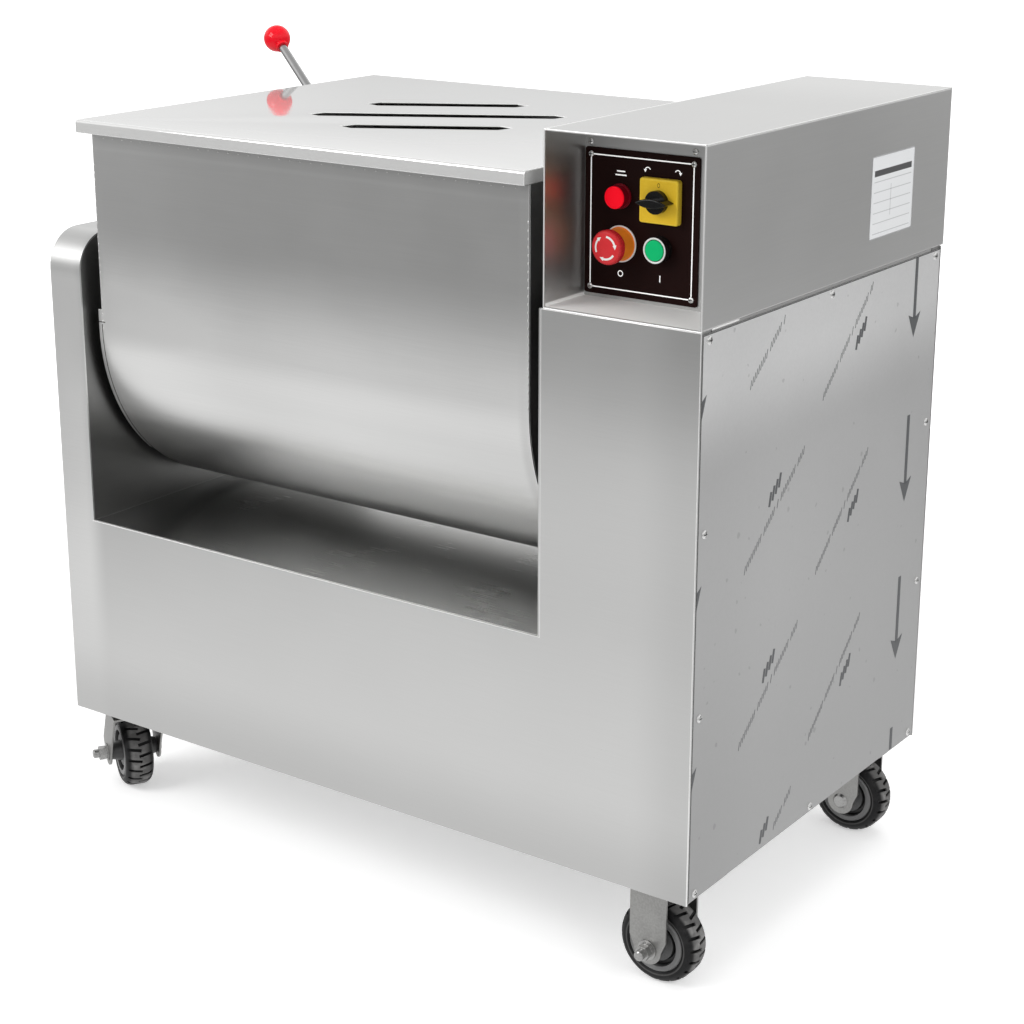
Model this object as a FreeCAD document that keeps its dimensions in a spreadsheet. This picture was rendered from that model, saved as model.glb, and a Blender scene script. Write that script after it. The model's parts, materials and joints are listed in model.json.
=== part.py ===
import FreeCAD, Part
import math
import os
import Sketcher

# Tilting meat mixer on castors, in millimetres.
# +X runs to the right, +Y to the back, +Z up. The origin is on the floor, under the middle of the machine.

os.makedirs("parts", exist_ok=True)
doc = FreeCAD.newDocument("meat_mixer")
Vector = FreeCAD.Vector

# Driving sizes

SIZES = {
    "cabinet_width": 960,
    "cabinet_depth": 570,
    "body_height": 650,
    "arm_width": 53,
    "arm_corner": 48,
    "column_width": 202,
    "sheet": 2,
    "flange": 20,
    "panel_gap": 3,
    "castor_height": 130,
    "tube": 40,
    "tube_wall": 2.5,
    "gusset": 4,
    "gusset_long": 106,
    "gusset_wide": 90,
    "box_inset": 5,
    "box_height": 192,
    "box_proud": 5,
    "box_bend": 3,
    "recess_depth": 75,
    "plate_width": 143,
    "plate_height": 159,
    "plate_thick": 1.5,
    "plate_side_gap": 1,
    "plate_floor_gap": 4,
    "plate_corner": 3,
    "plate_screw_inset": 7.5,
    "button_left": 26,
    "button_right": 25,
    "button_up": 30,
    "button_down": 21.5,
    "barrel_radius": 11,
    "barrel_length": 30,
    "hole_play": 0.2,
    "hub_drop": 120,
    "deck_gap": 18,
    "tank_front_gap": 17,
    "tank_rear_room": 77,
    "tank_left_gap": 18,
    "tank_right_gap": 25,
    "tank_sheet": 2,
    "end_sheet": 3,
    "rim_rise": 263.7,
    "rear_rim_gap": 38,
    "tab_reach": 6,
    "lid_sheet": 2,
    "lid_lift": 0.3,
    "lid_nose": 5,
    "lid_rear": 5,
    "lid_side_left": 5,
    "lid_side_right": 9,
    "lid_hem": 14,
    "slot_width": 34,
    "slot_taper": 16,
    "slot_long": 323,
    "slot_short": 209,
    "slot_pitch": 103,
    "slot_angle": 30,
    "hinge_drop": 20,
    "hinge_inset": 22,
    "hinge_pin": 5,
    "hinge_knuckle": 9,
    "hinge_spread": 210,
    "leaf_length": 30,
    "leaf_width": 36,
    "leaf_thick": 4,
    "leaf_stem": 6,
    "ear_thick": 4,
    "ear_gap": 0.5,
    "pin_end": 6.5,
    "hub_radius": 30,
    "hub_disc": 65,
    "hub_disc_thick": 5,
    "bearing_flange": 55,
    "bearing_flange_thick": 10,
    "bearing_length": 30,
    "bearing_boss": 42,
    "bearing_bolt_circle": 46,
    "run_play": 0.05,
    "shaft_radius": 20,
    "core_radius": 25,
    "drive_radius": 17.5,
    "seal_radius": 32,
    "seal_length": 6,
    "paddle_count": 6,
    "paddle_gap": 8,
    "paddle_width": 92,
    "paddle_depth": 62,
    "paddle_thick": 5,
    "paddle_pitch_angle": 38,
    "paddle_arm": 9,
    "paddle_hub_wall": 10,
    "paddle_hub_length": 42,
    "paddle_step_angle": 120,
    "gearbox_gap": 8,
    "gearbox_width": 96,
    "gearbox_radius": 76,
    "worm_offset": 80,
    "worm_radius": 46,
    "gearbox_flange": 90,
    "gearbox_flange_thick": 10,
    "output_radius": 32,
    "output_reach": 4,
    "worm_flange": 60,
    "worm_flange_thick": 6,
    "worm_bore_depth": 40,
    "standoff_inset": 12,
    "standoff_radius": 8,
    "motor_radius": 68,
    "motor_length": 205,
    "motor_bore": 51,
    "motor_spigot": 60,
    "motor_spigot_length": 10,
    "motor_end": 12,
    "terminal_width": 76,
    "terminal_height": 80,
    "terminal_reach": 42,
    "terminal_drop": 120,
    "fin_reach": 10,
    "fin_count": 20,
    "cowl_length": 62,
    "cowl_lap": 12,
    "rotor_radius": 49,
    "rotor_gap": 12,
    "rotor_shaft_up": 30,
    "fan_radius": 64,
    "fan_hub": 24,
    "fan_width": 26,
    "fan_gap": 10,
    "motor_shaft": 12,
    "handle_out": 138,
    "handle_back": 58,
    "handle_up": 92,
    "handle_foot_back": 206,
    "handle_foot_up": 222,
    "rod_radius": 6,
    "ball_radius": 19,
    "wheel_radius": 50,
    "tread_width": 38,
    "lug_count": 20,
    "lug_depth": 4.5,
    "lug_gap": 4,
    "core_wheel_radius": 35,
    "castor_hub_length": 63,
    "axle_radius": 6,
    "wheel_play": 0.9,
    "fork_wall": 3,
    "fork_width": 48,
    "fork_end": 18,
    "axle_reach": 20,
    "castor_front_inset": 52,
    "castor_rear_inset": 45,
    "fixed_inset": 60,
    "swivel_inset": 57,
    "swivel_trail": 32,
    "swivel_race": 31,
    "front_swivel_angle": 148,
    "rear_swivel_angle": 165,
    "castor_plate": 4,
    "castor_plate_long": 92,
    "castor_plate_wide": 72,
    "castor_bolt": 4,
    "screw_head": 2.6,
    "screw_head_radius": 5,
    "screw_shank": 2.5,
    "screw_inset": 16,
    "screw_edge": 10,
    "gland_reach": 24,
    "gland_bore": 5,
    "gland_height": 96,
    "vent_count": 8,
    "vent_length": 90,
    "vent_width": 6,
    "vent_pitch": 16,
    "vent_rise": 172,
    "block_width": 28,
    "block_height": 36,
    "block_depth": 34,
    "terminal": 3,
    "gear_gap": 28,
    "rail_width": 35,
    "rail_length": 230,
    "rail_height": 8,
    "contactor_width": 76,
    "contactor_height": 84,
    "relay_height": 70,
    "contactor_length": 46,
    "relay_length": 60,
    "contactor_step": 50,
}

dims = doc.addObject("Spreadsheet::Sheet", "dims")
for row, (alias, size) in enumerate(SIZES.items(), start=1):
    dims.set(f"A{row}", alias)
    dims.set(f"B{row}", str(size))
    dims.setAlias(f"B{row}", alias)
doc.recompute()

# Places worked out from the sizes, in the machine's own frame

PLACES = {
    "left_x": "-(dims.cabinet_width + dims.screw_head + dims.arm_width + dims.tank_left_gap"
              " - dims.handle_out - dims.ball_radius) / 2",
    "right_x": "left_x + dims.cabinet_width",
    "front_y": "-(dims.cabinet_depth + dims.gland_reach - dims.lid_nose) / 2",
    "rear_y": "front_y + dims.cabinet_depth",
    "tank_radius": "(dims.cabinet_depth - dims.tank_front_gap - dims.tank_rear_room) / 2",
    "axis_height": "dims.body_height - dims.hub_drop",
    "deck_height": "axis_height - tank_radius - dims.deck_gap",
    "rim_height": "axis_height + dims.rim_rise",
    "base_z": "dims.castor_height",
    "deck_z": "base_z + deck_height",
    "top_z": "base_z + dims.body_height",
    "arm_x": "left_x + dims.arm_width",
    "column_x": "right_x - dims.column_width",
    "box_x": "column_x + dims.box_inset",
    "box_width": "dims.column_width - dims.box_inset",
    "box_depth": "dims.cabinet_depth + dims.box_proud",
    "tank_left": "arm_x + dims.tank_left_gap",
    "tank_right": "column_x - dims.tank_right_gap",
    "tank_length": "tank_right - tank_left",
    "axis_y": "front_y + dims.tank_front_gap + tank_radius",
    "axis_z": "base_z + axis_height",
    "rim_back": "rear_y - dims.rear_rim_gap - axis_y",
    "rim_reach": "sqrt(rim_back ^ 2 + dims.rim_rise ^ 2)",
    "slope": "acos(tank_radius / rim_reach) / 1deg - atan(dims.rim_rise / rim_back) / 1deg",
    "lid_z": "base_z + rim_height + dims.lid_lift",
    "lid_left": "tank_left - dims.lid_side_left",
    "lid_right": "tank_right + dims.lid_side_right",
    "hinge_y": "rear_y + dims.lid_rear - dims.hinge_inset",
    "hinge_z": "lid_z - dims.hinge_drop",
    "plate_x": "box_x + dims.sheet + dims.plate_side_gap",
    "plate_z": "top_z + dims.sheet + dims.plate_floor_gap",
    "plate_y": "front_y + dims.recess_depth",
    "panel_x": "plate_x + dims.plate_width / 2",
    "panel_z": "plate_z + dims.plate_height / 2",
    "backing_y": "plate_y + dims.plate_thick",
    "gear_y": "plate_y + dims.barrel_length + dims.block_depth + dims.terminal + dims.gear_gap",
    "gearbox_x": "column_x + dims.sheet + dims.bearing_length + dims.gearbox_gap",
    "motor_x": "gearbox_x + dims.gearbox_width / 2",
    "motor_y": "axis_y + dims.worm_offset",
    "motor_z": "axis_z - dims.gearbox_radius - dims.worm_flange_thick",
    "axle_z": "dims.wheel_radius",
    "fork_gap": "dims.castor_hub_length / 2 + dims.wheel_play",
    "fixed_x": "right_x - dims.fixed_inset",
    "swivel_x": "left_x + dims.swivel_inset",
    "castor_front_y": "front_y + dims.castor_front_inset",
    "castor_rear_y": "rear_y - dims.castor_rear_inset",
}

at = doc.addObject("App::VarSet", "at")
for name, expression in PLACES.items():
    at.addProperty("App::PropertyFloat", name)
    at.setExpression(name, expression)
    doc.recompute()


def val(expression):
    """Number that an expression on the sizes and places gives."""
    result = at.evalExpression(expression)
    return float(getattr(result, "Value", result))


# Tools of the drawing board

def body(label, x="0", y="0", z="0"):
    """Empty body with its own name, at a place given by expressions."""
    obj = doc.addObject("PartDesign::Body", label)
    obj.Label = label
    for axis, expression in zip("xyz", (x, y, z)):
        obj.setExpression(f"Placement.Base.{axis}", expression)
    return obj


def datum(owner, role):
    """Origin plane or axis of a body."""
    return next(item for item in owner.Origin.OriginFeatures if item.Role == role)


def sketch(owner, role, lift="0"):
    """Sketch on one of the body's own planes, moved along its normal."""
    obj = owner.newObject("Sketcher::SketchObject", owner.Name + "_sketch")
    obj.AttachmentSupport = [(datum(owner, role), "")]
    obj.MapMode = "FlatFace"
    obj.setExpression("AttachmentOffset.Base.z", lift)
    return obj


def fix(drawing, kind, geometry, position, expression):
    """Distance of a point from the sketch's origin, bound to an expression."""
    index = drawing.addConstraint(
        Sketcher.Constraint(kind, -1, 1, geometry, position, val(expression)))
    drawing.setExpression(f"Constraints[{index}]", expression)


def fix_radius(drawing, geometry, expression):
    """Radius of a circle or arc, bound to an expression."""
    index = drawing.addConstraint(Sketcher.Constraint("Radius", geometry, val(expression)))
    drawing.setExpression(f"Constraints[{index}]", expression)


def arc_between(start, end, radius, left):
    """Minor arc from start to end, its centre left or right of the way there."""
    middle = (start + end) * 0.5
    way = end - start
    rise = math.sqrt(max(radius ** 2 - (way.Length / 2) ** 2, 0.0))
    normal = Vector(-way.y, way.x, 0).normalize()
    centre = middle + normal * (rise if left else -rise)
    first, last = (start, end) if left else (end, start)
    angles = [math.atan2(p.y - centre.y, p.x - centre.x) for p in (first, last)]
    if angles[1] < angles[0]:
        angles[1] += 2 * math.pi
    return Part.ArcOfCircle(Part.Circle(centre, Vector(0, 0, 1), radius), angles[0], angles[1])


def outline(drawing, corners):
    """Closed outline. A corner is (u, v), or (u, v, radius, "left" or "right") where an arc
    leads from it to the next corner, with its centre on that side of the way."""
    points = [Vector(val(c[0]), val(c[1]), 0) for c in corners]
    ends = []
    for index, corner in enumerate(corners):
        start = points[index]
        end = points[(index + 1) % len(points)]
        if len(corner) == 2:
            geometry = drawing.addGeometry(Part.LineSegment(start, end), False)
            ends.append((geometry, 1, 2))
        else:
            left = corner[3] == "left"
            arc = arc_between(start, end, val(corner[2]), left)
            geometry = drawing.addGeometry(arc, False)
            ends.append((geometry, 1, 2) if left else (geometry, 2, 1))
    for index, corner in enumerate(corners):
        geometry, first, last = ends[index]
        next_one, next_first, _ = ends[(index + 1) % len(ends)]
        drawing.addConstraint(Sketcher.Constraint("Coincident", geometry, last, next_one, next_first))
        fix(drawing, "DistanceX", geometry, first, corner[0])
        fix(drawing, "DistanceY", geometry, first, corner[1])
        if len(corner) > 2:
            following = corners[(index + 1) % len(corners)]
            chord = points[(index + 1) % len(points)] - points[index]
            if abs(chord.Length - 2 * val(corner[2])) > 1e-6:
                fix_radius(drawing, geometry, corner[2])
            elif abs(chord.y) > abs(chord.x):
                fix(drawing, "DistanceX", geometry, 3, f"(({corner[0]}) + ({following[0]})) / 2")
            else:
                fix(drawing, "DistanceY", geometry, 3, f"(({corner[1]}) + ({following[1]})) / 2")


def rectangle(drawing, u0, v0, u1, v1):
    """Rectangle from its low corner to its high corner."""
    outline(drawing, [(u0, v0), (u1, v0), (u1, v1), (u0, v1)])


def rounded(drawing, u0, v0, u1, v1, radius):
    """Rectangle with rounded corners."""
    outline(drawing, [
        (f"{u0} + {radius}", v0), (f"{u1} - {radius}", v0, radius, "left"),
        (u1, f"{v0} + {radius}"), (u1, f"{v1} - {radius}", radius, "left"),
        (f"{u1} - {radius}", v1), (f"{u0} + {radius}", v1, radius, "left"),
        (u0, f"{v1} - {radius}"), (u0, f"{v0} + {radius}", radius, "left"),
    ])


def circle(drawing, u, v, radius):
    """Full circle."""
    shape = Part.Circle(Vector(val(u), val(v), 0), Vector(0, 0, 1), val(radius))
    geometry = drawing.addGeometry(shape, False)
    fix(drawing, "DistanceX", geometry, 3, u)
    fix(drawing, "DistanceY", geometry, 3, v)
    fix_radius(drawing, geometry, radius)


def pad(drawing, length, back=False):
    """Pad of a sketch, along its normal or against it."""
    owner = drawing.getParentGeoFeatureGroup()
    feature = owner.newObject("PartDesign::Pad", owner.Name + "_pad")
    feature.Profile = drawing
    feature.setExpression("Length", length)
    feature.Reversed = back
    doc.recompute()
    return feature


def pocket(drawing, length):
    """Pocket of a sketch, turned to the side where it meets the solid."""
    owner = drawing.getParentGeoFeatureGroup()
    before = owner.Shape.Volume
    feature = owner.newObject("PartDesign::Pocket", owner.Name + "_pocket")
    feature.Profile = drawing
    feature.setExpression("Length", length)
    doc.recompute()
    if "Invalid" in feature.State or owner.Shape.Volume > before - 1e-6:
        feature.Reversed = True
        doc.recompute()
    if owner.Shape.Volume > before - 1e-6:
        raise RuntimeError(owner.Label + ": a pocket cuts nothing")
    return feature


def revolve(drawing, axis="V_Axis"):
    """Full turn of a sketch about one of its own axes."""
    owner = drawing.getParentGeoFeatureGroup()
    feature = owner.newObject("PartDesign::Revolution", owner.Name + "_turned")
    feature.Profile = drawing
    feature.ReferenceAxis = (drawing, [axis])
    feature.Angle = 360
    doc.recompute()
    return feature


def ring_of(feature, role, count):
    """Feature repeated evenly about an origin axis of its body."""
    owner = feature.getParentGeoFeatureGroup()
    pattern = owner.newObject("PartDesign::PolarPattern", owner.Name + "_ring")
    pattern.Originals = [feature]
    pattern.Axis = (datum(owner, role), [""])
    pattern.Angle = 360
    pattern.setExpression("Occurrences", count)
    owner.Tip = pattern
    doc.recompute()
    return pattern


def row_of(feature, role, length, count):
    """Feature repeated along an origin axis of its body."""
    owner = feature.getParentGeoFeatureGroup()
    pattern = owner.newObject("PartDesign::LinearPattern", owner.Name + "_row")
    pattern.Originals = [feature]
    pattern.Direction = (datum(owner, role), [""])
    pattern.setExpression("Length", length)
    pattern.setExpression("Occurrences", count)
    owner.Tip = pattern
    doc.recompute()
    return pattern


def soften(owner, radius, wanted):
    """Fillet on the edges of the body's tip that a test picks."""
    tip = owner.Tip
    names = [f"Edge{i}" for i, edge in enumerate(tip.Shape.Edges, start=1) if wanted(edge)]
    feature = owner.newObject("PartDesign::Fillet", owner.Name + "_fillet")
    feature.Base = (tip, names)
    feature.setExpression("Radius", radius)
    doc.recompute()
    return feature


def turned(label, corners, x, y, z, role="XY_Plane", axis="V_Axis"):
    """Body turned from one outline."""
    owner = body(label, x, y, z)
    drawing = sketch(owner, role)
    outline(drawing, corners)
    revolve(drawing, axis)
    return owner


def straight(direction):
    """Test for straight edges along a direction."""
    def test(edge):
        if edge.Curve.TypeId != "Part::GeomLine":
            return False
        return abs(abs(edge.tangentAt(edge.FirstParameter).dot(direction)) - 1) < 1e-6
    return test


def group(label, solids):
    """One node of several separate solids, already in their places."""
    obj = doc.addObject("Part::Feature", label)
    obj.Label = label
    obj.Shape = Part.makeCompound(solids)
    obj.Placement = FreeCAD.Placement()
    NODES.append(obj)
    return obj


def moved(shape, x, y, z):
    """Copy of a shape, moved."""
    copy = shape.copy()
    copy.translate(Vector(x, y, z))
    return copy


def spun(shape, point, direction, angle):
    """Copy of a shape, turned about a line."""
    copy = shape.copy()
    copy.rotate(point, direction, angle)
    return copy


def node(obj):
    """List a finished piece as one of the machine's nodes."""
    NODES.append(obj)
    return obj


NODES = []
AXIS_X = Vector(1, 0, 0)
AXIS_Y = Vector(0, 1, 0)
AXIS_Z = Vector(0, 0, 1)
ORIGIN = Vector(0, 0, 0)

# Cabinet sheets

FACE = [
    ("0", "0"),
    ("dims.cabinet_width", "0"),
    ("dims.cabinet_width", "dims.body_height"),
    ("dims.cabinet_width - dims.column_width", "dims.body_height"),
    ("dims.cabinet_width - dims.column_width", "at.deck_height"),
    ("dims.arm_width", "at.deck_height"),
    ("dims.arm_width", "dims.body_height - dims.arm_corner"),
    ("0", "dims.body_height - dims.arm_corner"),
]
SCREW_ROWS = "(dims.body_height - 2 * dims.screw_edge)"


def side_flange(owner, front):
    """Return flange above the underframe that the side panel is screwed to, with three holes."""
    drawing = sketch(owner, "XY_Plane", "dims.gusset + dims.tube + dims.sheet")
    low = "dims.sheet" if front else "-dims.sheet - dims.flange"
    high = "dims.sheet + dims.flange" if front else "-dims.sheet"
    rectangle(drawing, "dims.cabinet_width - 2 * dims.sheet", low,
              "dims.cabinet_width - dims.sheet", high)
    pad(drawing, "dims.body_height - dims.gusset - dims.tube - dims.sheet")
    holes = sketch(owner, "YZ_Plane", "dims.cabinet_width - dims.sheet")
    place = "dims.screw_inset" if front else "-dims.screw_inset"
    circle(holes, place, f"dims.screw_edge + {SCREW_ROWS} / 3", "dims.screw_shank + dims.hole_play")
    hole = pocket(holes, "dims.sheet")
    row_of(hole, "Z_Axis", f"2 * {SCREW_ROWS} / 3", "3")


def face_sheet(label, y, front):
    """Front or rear sheet: base, column and the foot of the arm in one."""
    owner = body(label, "at.left_x", y, "at.base_z")
    drawing = sketch(owner, "XZ_Plane")
    outline(drawing, FACE)
    pad(drawing, "dims.sheet", back=front)
    return owner


front = face_sheet("front_sheet", "at.front_y", True)
band = sketch(front, "YZ_Plane")
inner_corner = "dims.arm_corner - dims.sheet"
shoulder = "dims.body_height - dims.arm_corner"
outline(band, [
    ("dims.sheet", shoulder, inner_corner, "right"),
    ("dims.arm_corner", "dims.body_height - dims.sheet"),
    ("dims.cabinet_depth - dims.arm_corner", "dims.body_height - dims.sheet", inner_corner, "right"),
    ("dims.cabinet_depth - dims.sheet", shoulder),
    ("dims.cabinet_depth", shoulder, "dims.arm_corner", "left"),
    ("dims.cabinet_depth - dims.arm_corner", "dims.body_height"),
    ("dims.arm_corner", "dims.body_height", "dims.arm_corner", "left"),
    ("0", shoulder),
])
pad(band, "dims.arm_width")
side_flange(front, True)
node(front)

rear = face_sheet("rear_sheet", "at.rear_y", False)
side_flange(rear, False)
vents = sketch(rear, "XZ_Plane")
vent_x = "dims.cabinet_width - dims.column_width / 2"
vent_z = "(dims.gland_height + dims.vent_rise)"
outline(vents, [
    (f"{vent_x} - dims.vent_length / 2", f"{vent_z} + dims.vent_width", "dims.vent_width / 2", "left"),
    (f"{vent_x} - dims.vent_length / 2", vent_z),
    (f"{vent_x} + dims.vent_length / 2", vent_z, "dims.vent_width / 2", "left"),
    (f"{vent_x} + dims.vent_length / 2", f"{vent_z} + dims.vent_width"),
])
vent = pocket(vents, "dims.sheet")
row_of(vent, "Z_Axis", "dims.vent_pitch * (dims.vent_count - 1)", "dims.vent_count")
gland_hole = sketch(rear, "XZ_Plane")
circle(gland_hole, vent_x, "dims.gland_height", "dims.gland_bore + 5 + dims.hole_play")
pocket(gland_hole, "dims.sheet")
node(rear)


def arm_plate(label, x, foot, bored):
    """Plate inside the arm's band, from a foot height up, with or without the hub's hole."""
    owner = body(label, x, "at.front_y", "at.base_z")
    drawing = sketch(owner, "YZ_Plane")
    outline(drawing, [
        ("dims.sheet", foot),
        ("dims.cabinet_depth - dims.sheet", foot),
        ("dims.cabinet_depth - dims.sheet", shoulder, inner_corner, "left"),
        ("dims.cabinet_depth - dims.arm_corner", "dims.body_height - dims.sheet"),
        ("dims.arm_corner", "dims.body_height - dims.sheet", inner_corner, "left"),
        ("dims.sheet", shoulder),
    ])
    pad(drawing, "dims.sheet")
    if bored:
        hub_hole(owner)
    return node(owner)


def hub_hole(owner):
    """Hole for the tank's hub and the four bolts of its bearing."""
    drawing = sketch(owner, "YZ_Plane")
    circle(drawing, "at.axis_y - at.front_y", "at.axis_height", "dims.hub_radius + dims.panel_gap")
    for side in ("+", "-"):
        for level in ("+", "-"):
            circle(drawing, f"at.axis_y - at.front_y {side} dims.bearing_bolt_circle * cos(45)",
                   f"at.axis_height {level} dims.bearing_bolt_circle * sin(45)",
                   "dims.castor_bolt + dims.hole_play")
    pocket(drawing, "dims.sheet")


arm_plate("left_side_plate", "at.left_x", "0", False)
arm_plate("arm_inner_plate", "at.arm_x - dims.sheet", "at.deck_height", True)

deck = body("deck_sheet", "at.arm_x - dims.sheet", "at.front_y", "at.deck_z - dims.sheet")
deck_sketch = sketch(deck, "XY_Plane")
rectangle(deck_sketch, "0", "dims.sheet",
          "at.column_x - at.arm_x + 2 * dims.sheet", "dims.cabinet_depth - dims.sheet")
pad(deck_sketch, "dims.sheet")
node(deck)

STANDOFF_CIRCLE = "(dims.gearbox_flange - dims.standoff_inset)"
column = body("column_inner_plate", "at.column_x", "at.front_y", "at.base_z")
column_sketch = sketch(column, "YZ_Plane")
rectangle(column_sketch, "dims.sheet", "at.deck_height",
          "dims.cabinet_depth - dims.sheet", "dims.body_height")
pad(column_sketch, "dims.sheet")
hub_hole(column)
standoffs = sketch(column, "YZ_Plane")
for side in ("+", "-"):
    for level in ("+", "-"):
        circle(standoffs, f"at.axis_y - at.front_y {side} {STANDOFF_CIRCLE} * cos(20)",
               f"at.axis_height {level} {STANDOFF_CIRCLE} * sin(20)",
               "dims.castor_bolt + dims.hole_play")
pocket(standoffs, "dims.sheet")
node(column)

# Underframe of four tubes, with a gusset at each corner for the castors

tube_low = val("at.base_z + dims.gusset")
tube = val("dims.tube")
wall = val("dims.tube_wall")
inside_left = val("at.left_x + dims.sheet")
inside_right = val("at.right_x - dims.sheet")
inside_front = val("at.front_y + dims.sheet")
inside_rear = val("at.rear_y - dims.sheet")


def square_tube(length, along_x, x, y):
    """Square tube, open at both ends, lying along X or Y."""
    long_size = (length, tube) if along_x else (tube, length)
    outer = Part.makeBox(long_size[0], long_size[1], tube)
    if along_x:
        inner = Part.makeBox(length, tube - 2 * wall, tube - 2 * wall, Vector(0, wall, wall))
    else:
        inner = Part.makeBox(tube - 2 * wall, length, tube - 2 * wall, Vector(wall, 0, wall))
    return moved(outer.cut(inner), x, y, tube_low)


depth_inside = inside_rear - inside_front
cross_length = inside_right - inside_left - 2 * tube
middle_y = val("(at.front_y + at.rear_y) / 2")
screw_places = (val("at.front_y + dims.screw_inset"), middle_y, val("at.rear_y - dims.screw_inset"))
right_tube = square_tube(depth_inside, False, inside_right - tube, inside_front)
for y in screw_places:
    drill = Part.makeCylinder(val("dims.screw_shank + dims.hole_play"), wall,
                              Vector(inside_right - wall, y, val("at.base_z + dims.screw_edge")), AXIS_X)
    right_tube = right_tube.cut(drill)
group("frame_tubes", [
    square_tube(depth_inside, False, inside_left, inside_front),
    right_tube,
    square_tube(cross_length, True, inside_left + tube, inside_front),
    square_tube(cross_length, True, inside_left + tube, inside_rear - tube),
])

gusset_x = {"left": inside_left, "right": inside_right - val("dims.gusset_long")}
gusset_y = {"front": inside_front, "rear": inside_rear - val("dims.gusset_wide")}
CASTOR_CENTRES = {
    ("left", "front"): ("at.swivel_x", "at.castor_front_y"),
    ("left", "rear"): ("at.swivel_x", "at.castor_rear_y"),
    ("right", "front"): ("at.fixed_x", "at.castor_front_y"),
    ("right", "rear"): ("at.fixed_x", "at.castor_rear_y"),
}
bolt_radius = val("dims.castor_bolt")
bolt_spread_x = val("dims.castor_plate_long / 2 - 10")
bolt_spread_y = val("dims.castor_plate_wide / 2 - 10")


def bolt_places(centre):
    """Four bolt places round a castor's middle."""
    x0, y0 = val(centre[0]), val(centre[1])
    return [(x0 + i * bolt_spread_x, y0 + j * bolt_spread_y) for i in (-1, 1) for j in (-1, 1)]


def bored_plate(plate, centre, low, height):
    """Plate with the castor's four bolt holes."""
    for x, y in bolt_places(centre):
        drill = Part.makeCylinder(bolt_radius + val("dims.hole_play"), height, Vector(x, y, low))
        plate = plate.cut(drill)
    return plate


gussets = []
for (side, end), centre in CASTOR_CENTRES.items():
    corner = Vector(gusset_x[side], gusset_y[end], val("at.base_z"))
    sheet = Part.makeBox(val("dims.gusset_long"), val("dims.gusset_wide"), val("dims.gusset"), corner)
    gussets.append(bored_plate(sheet, centre, val("at.base_z") - 1, val("dims.gusset") + 2))
group("corner_gussets", gussets)

# Right side panel and its screws

panel = body("side_panel", "at.right_x - dims.sheet", "at.front_y", "at.base_z")
panel_sketch = sketch(panel, "YZ_Plane")
rectangle(panel_sketch, "dims.panel_gap", "dims.panel_gap",
          "dims.cabinet_depth - dims.panel_gap", "dims.body_height - dims.panel_gap")
for y in ("dims.screw_inset", "dims.cabinet_depth - dims.screw_inset"):
    for step in range(4):
        circle(panel_sketch, y, f"dims.screw_edge + {step} * {SCREW_ROWS} / 3",
               "dims.screw_shank + dims.hole_play")
for z in ("dims.screw_edge", "dims.body_height - dims.screw_edge"):
    circle(panel_sketch, "dims.cabinet_depth / 2", z, "dims.screw_shank + dims.hole_play")
pad(panel_sketch, "dims.sheet")
node(panel)


def pan_screw(head_radius, head_height, shank_radius, length):
    """Pan-head screw along -X from its seat at the origin, with a cross slot in the head."""
    rim = head_height * 0.45
    face = Part.Face(Part.Wire([
        Part.LineSegment(Vector(-length, 0, 0), Vector(-length, shank_radius, 0)).toShape(),
        Part.LineSegment(Vector(-length, shank_radius, 0), Vector(0, shank_radius, 0)).toShape(),
        Part.LineSegment(Vector(0, shank_radius, 0), Vector(0, head_radius, 0)).toShape(),
        Part.LineSegment(Vector(0, head_radius, 0), Vector(rim, head_radius, 0)).toShape(),
        Part.Arc(Vector(rim, head_radius, 0), Vector(head_height * 0.85, head_radius * 0.62, 0),
                 Vector(head_height, 0, 0)).toShape(),
        Part.LineSegment(Vector(head_height, 0, 0), Vector(-length, 0, 0)).toShape(),
    ]))
    screw = face.revolve(ORIGIN, AXIS_X, 360)
    slot_width = head_radius * 0.22
    slot_long = head_radius * 1.1
    for size_y, size_z in ((slot_width, slot_long), (slot_long, slot_width)):
        corner = Vector(head_height * 0.4, -size_y / 2, -size_z / 2)
        screw = screw.cut(Part.makeBox(head_height, size_y, size_z, corner))
    return screw


side_screw = pan_screw(val("dims.screw_head_radius"), val("dims.screw_head"),
                       val("dims.screw_shank"), val("2 * dims.sheet"))
side_screws = []
rows = [val(f"dims.screw_edge + {step} * {SCREW_ROWS} / 3") for step in range(4)]
for y in (val("at.front_y + dims.screw_inset"), val("at.rear_y - dims.screw_inset")):
    side_screws += [moved(side_screw, val("at.right_x"), y, val("at.base_z") + z) for z in rows]
side_screws += [moved(side_screw, val("at.right_x"), middle_y, val("at.base_z") + z)
                for z in (rows[0], rows[-1])]
group("side_panel_screws", side_screws)

# Control box with its recess at the front

box = body("control_box", "at.box_x", "at.front_y", "at.top_z")
box_sketch = sketch(box, "XZ_Plane")
rounded(box_sketch, "0", "0", "at.box_width", "dims.box_height", "dims.box_bend")
pad(box_sketch, "at.box_depth", back=True)
hollow = sketch(box, "XZ_Plane")
rounded(hollow, "dims.sheet", "dims.sheet", "at.box_width - dims.sheet",
        "dims.box_height - dims.sheet", "(dims.box_bend - dims.sheet)")
pocket(hollow, "at.box_depth - dims.sheet")
lip = sketch(box, "XY_Plane")
rectangle(lip, "at.box_width - 2 * dims.sheet", "dims.flange + 2 * dims.sheet",
          "at.box_width - dims.sheet", "dims.cabinet_depth - dims.flange - 2 * dims.sheet")
pad(lip, "dims.flange", back=True)
lip_hole = sketch(box, "YZ_Plane", "at.box_width - dims.sheet")
circle(lip_hole, "dims.cabinet_depth / 2", "-dims.screw_edge", "dims.screw_shank + dims.hole_play")
pocket(lip_hole, "dims.sheet")
node(box)


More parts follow.
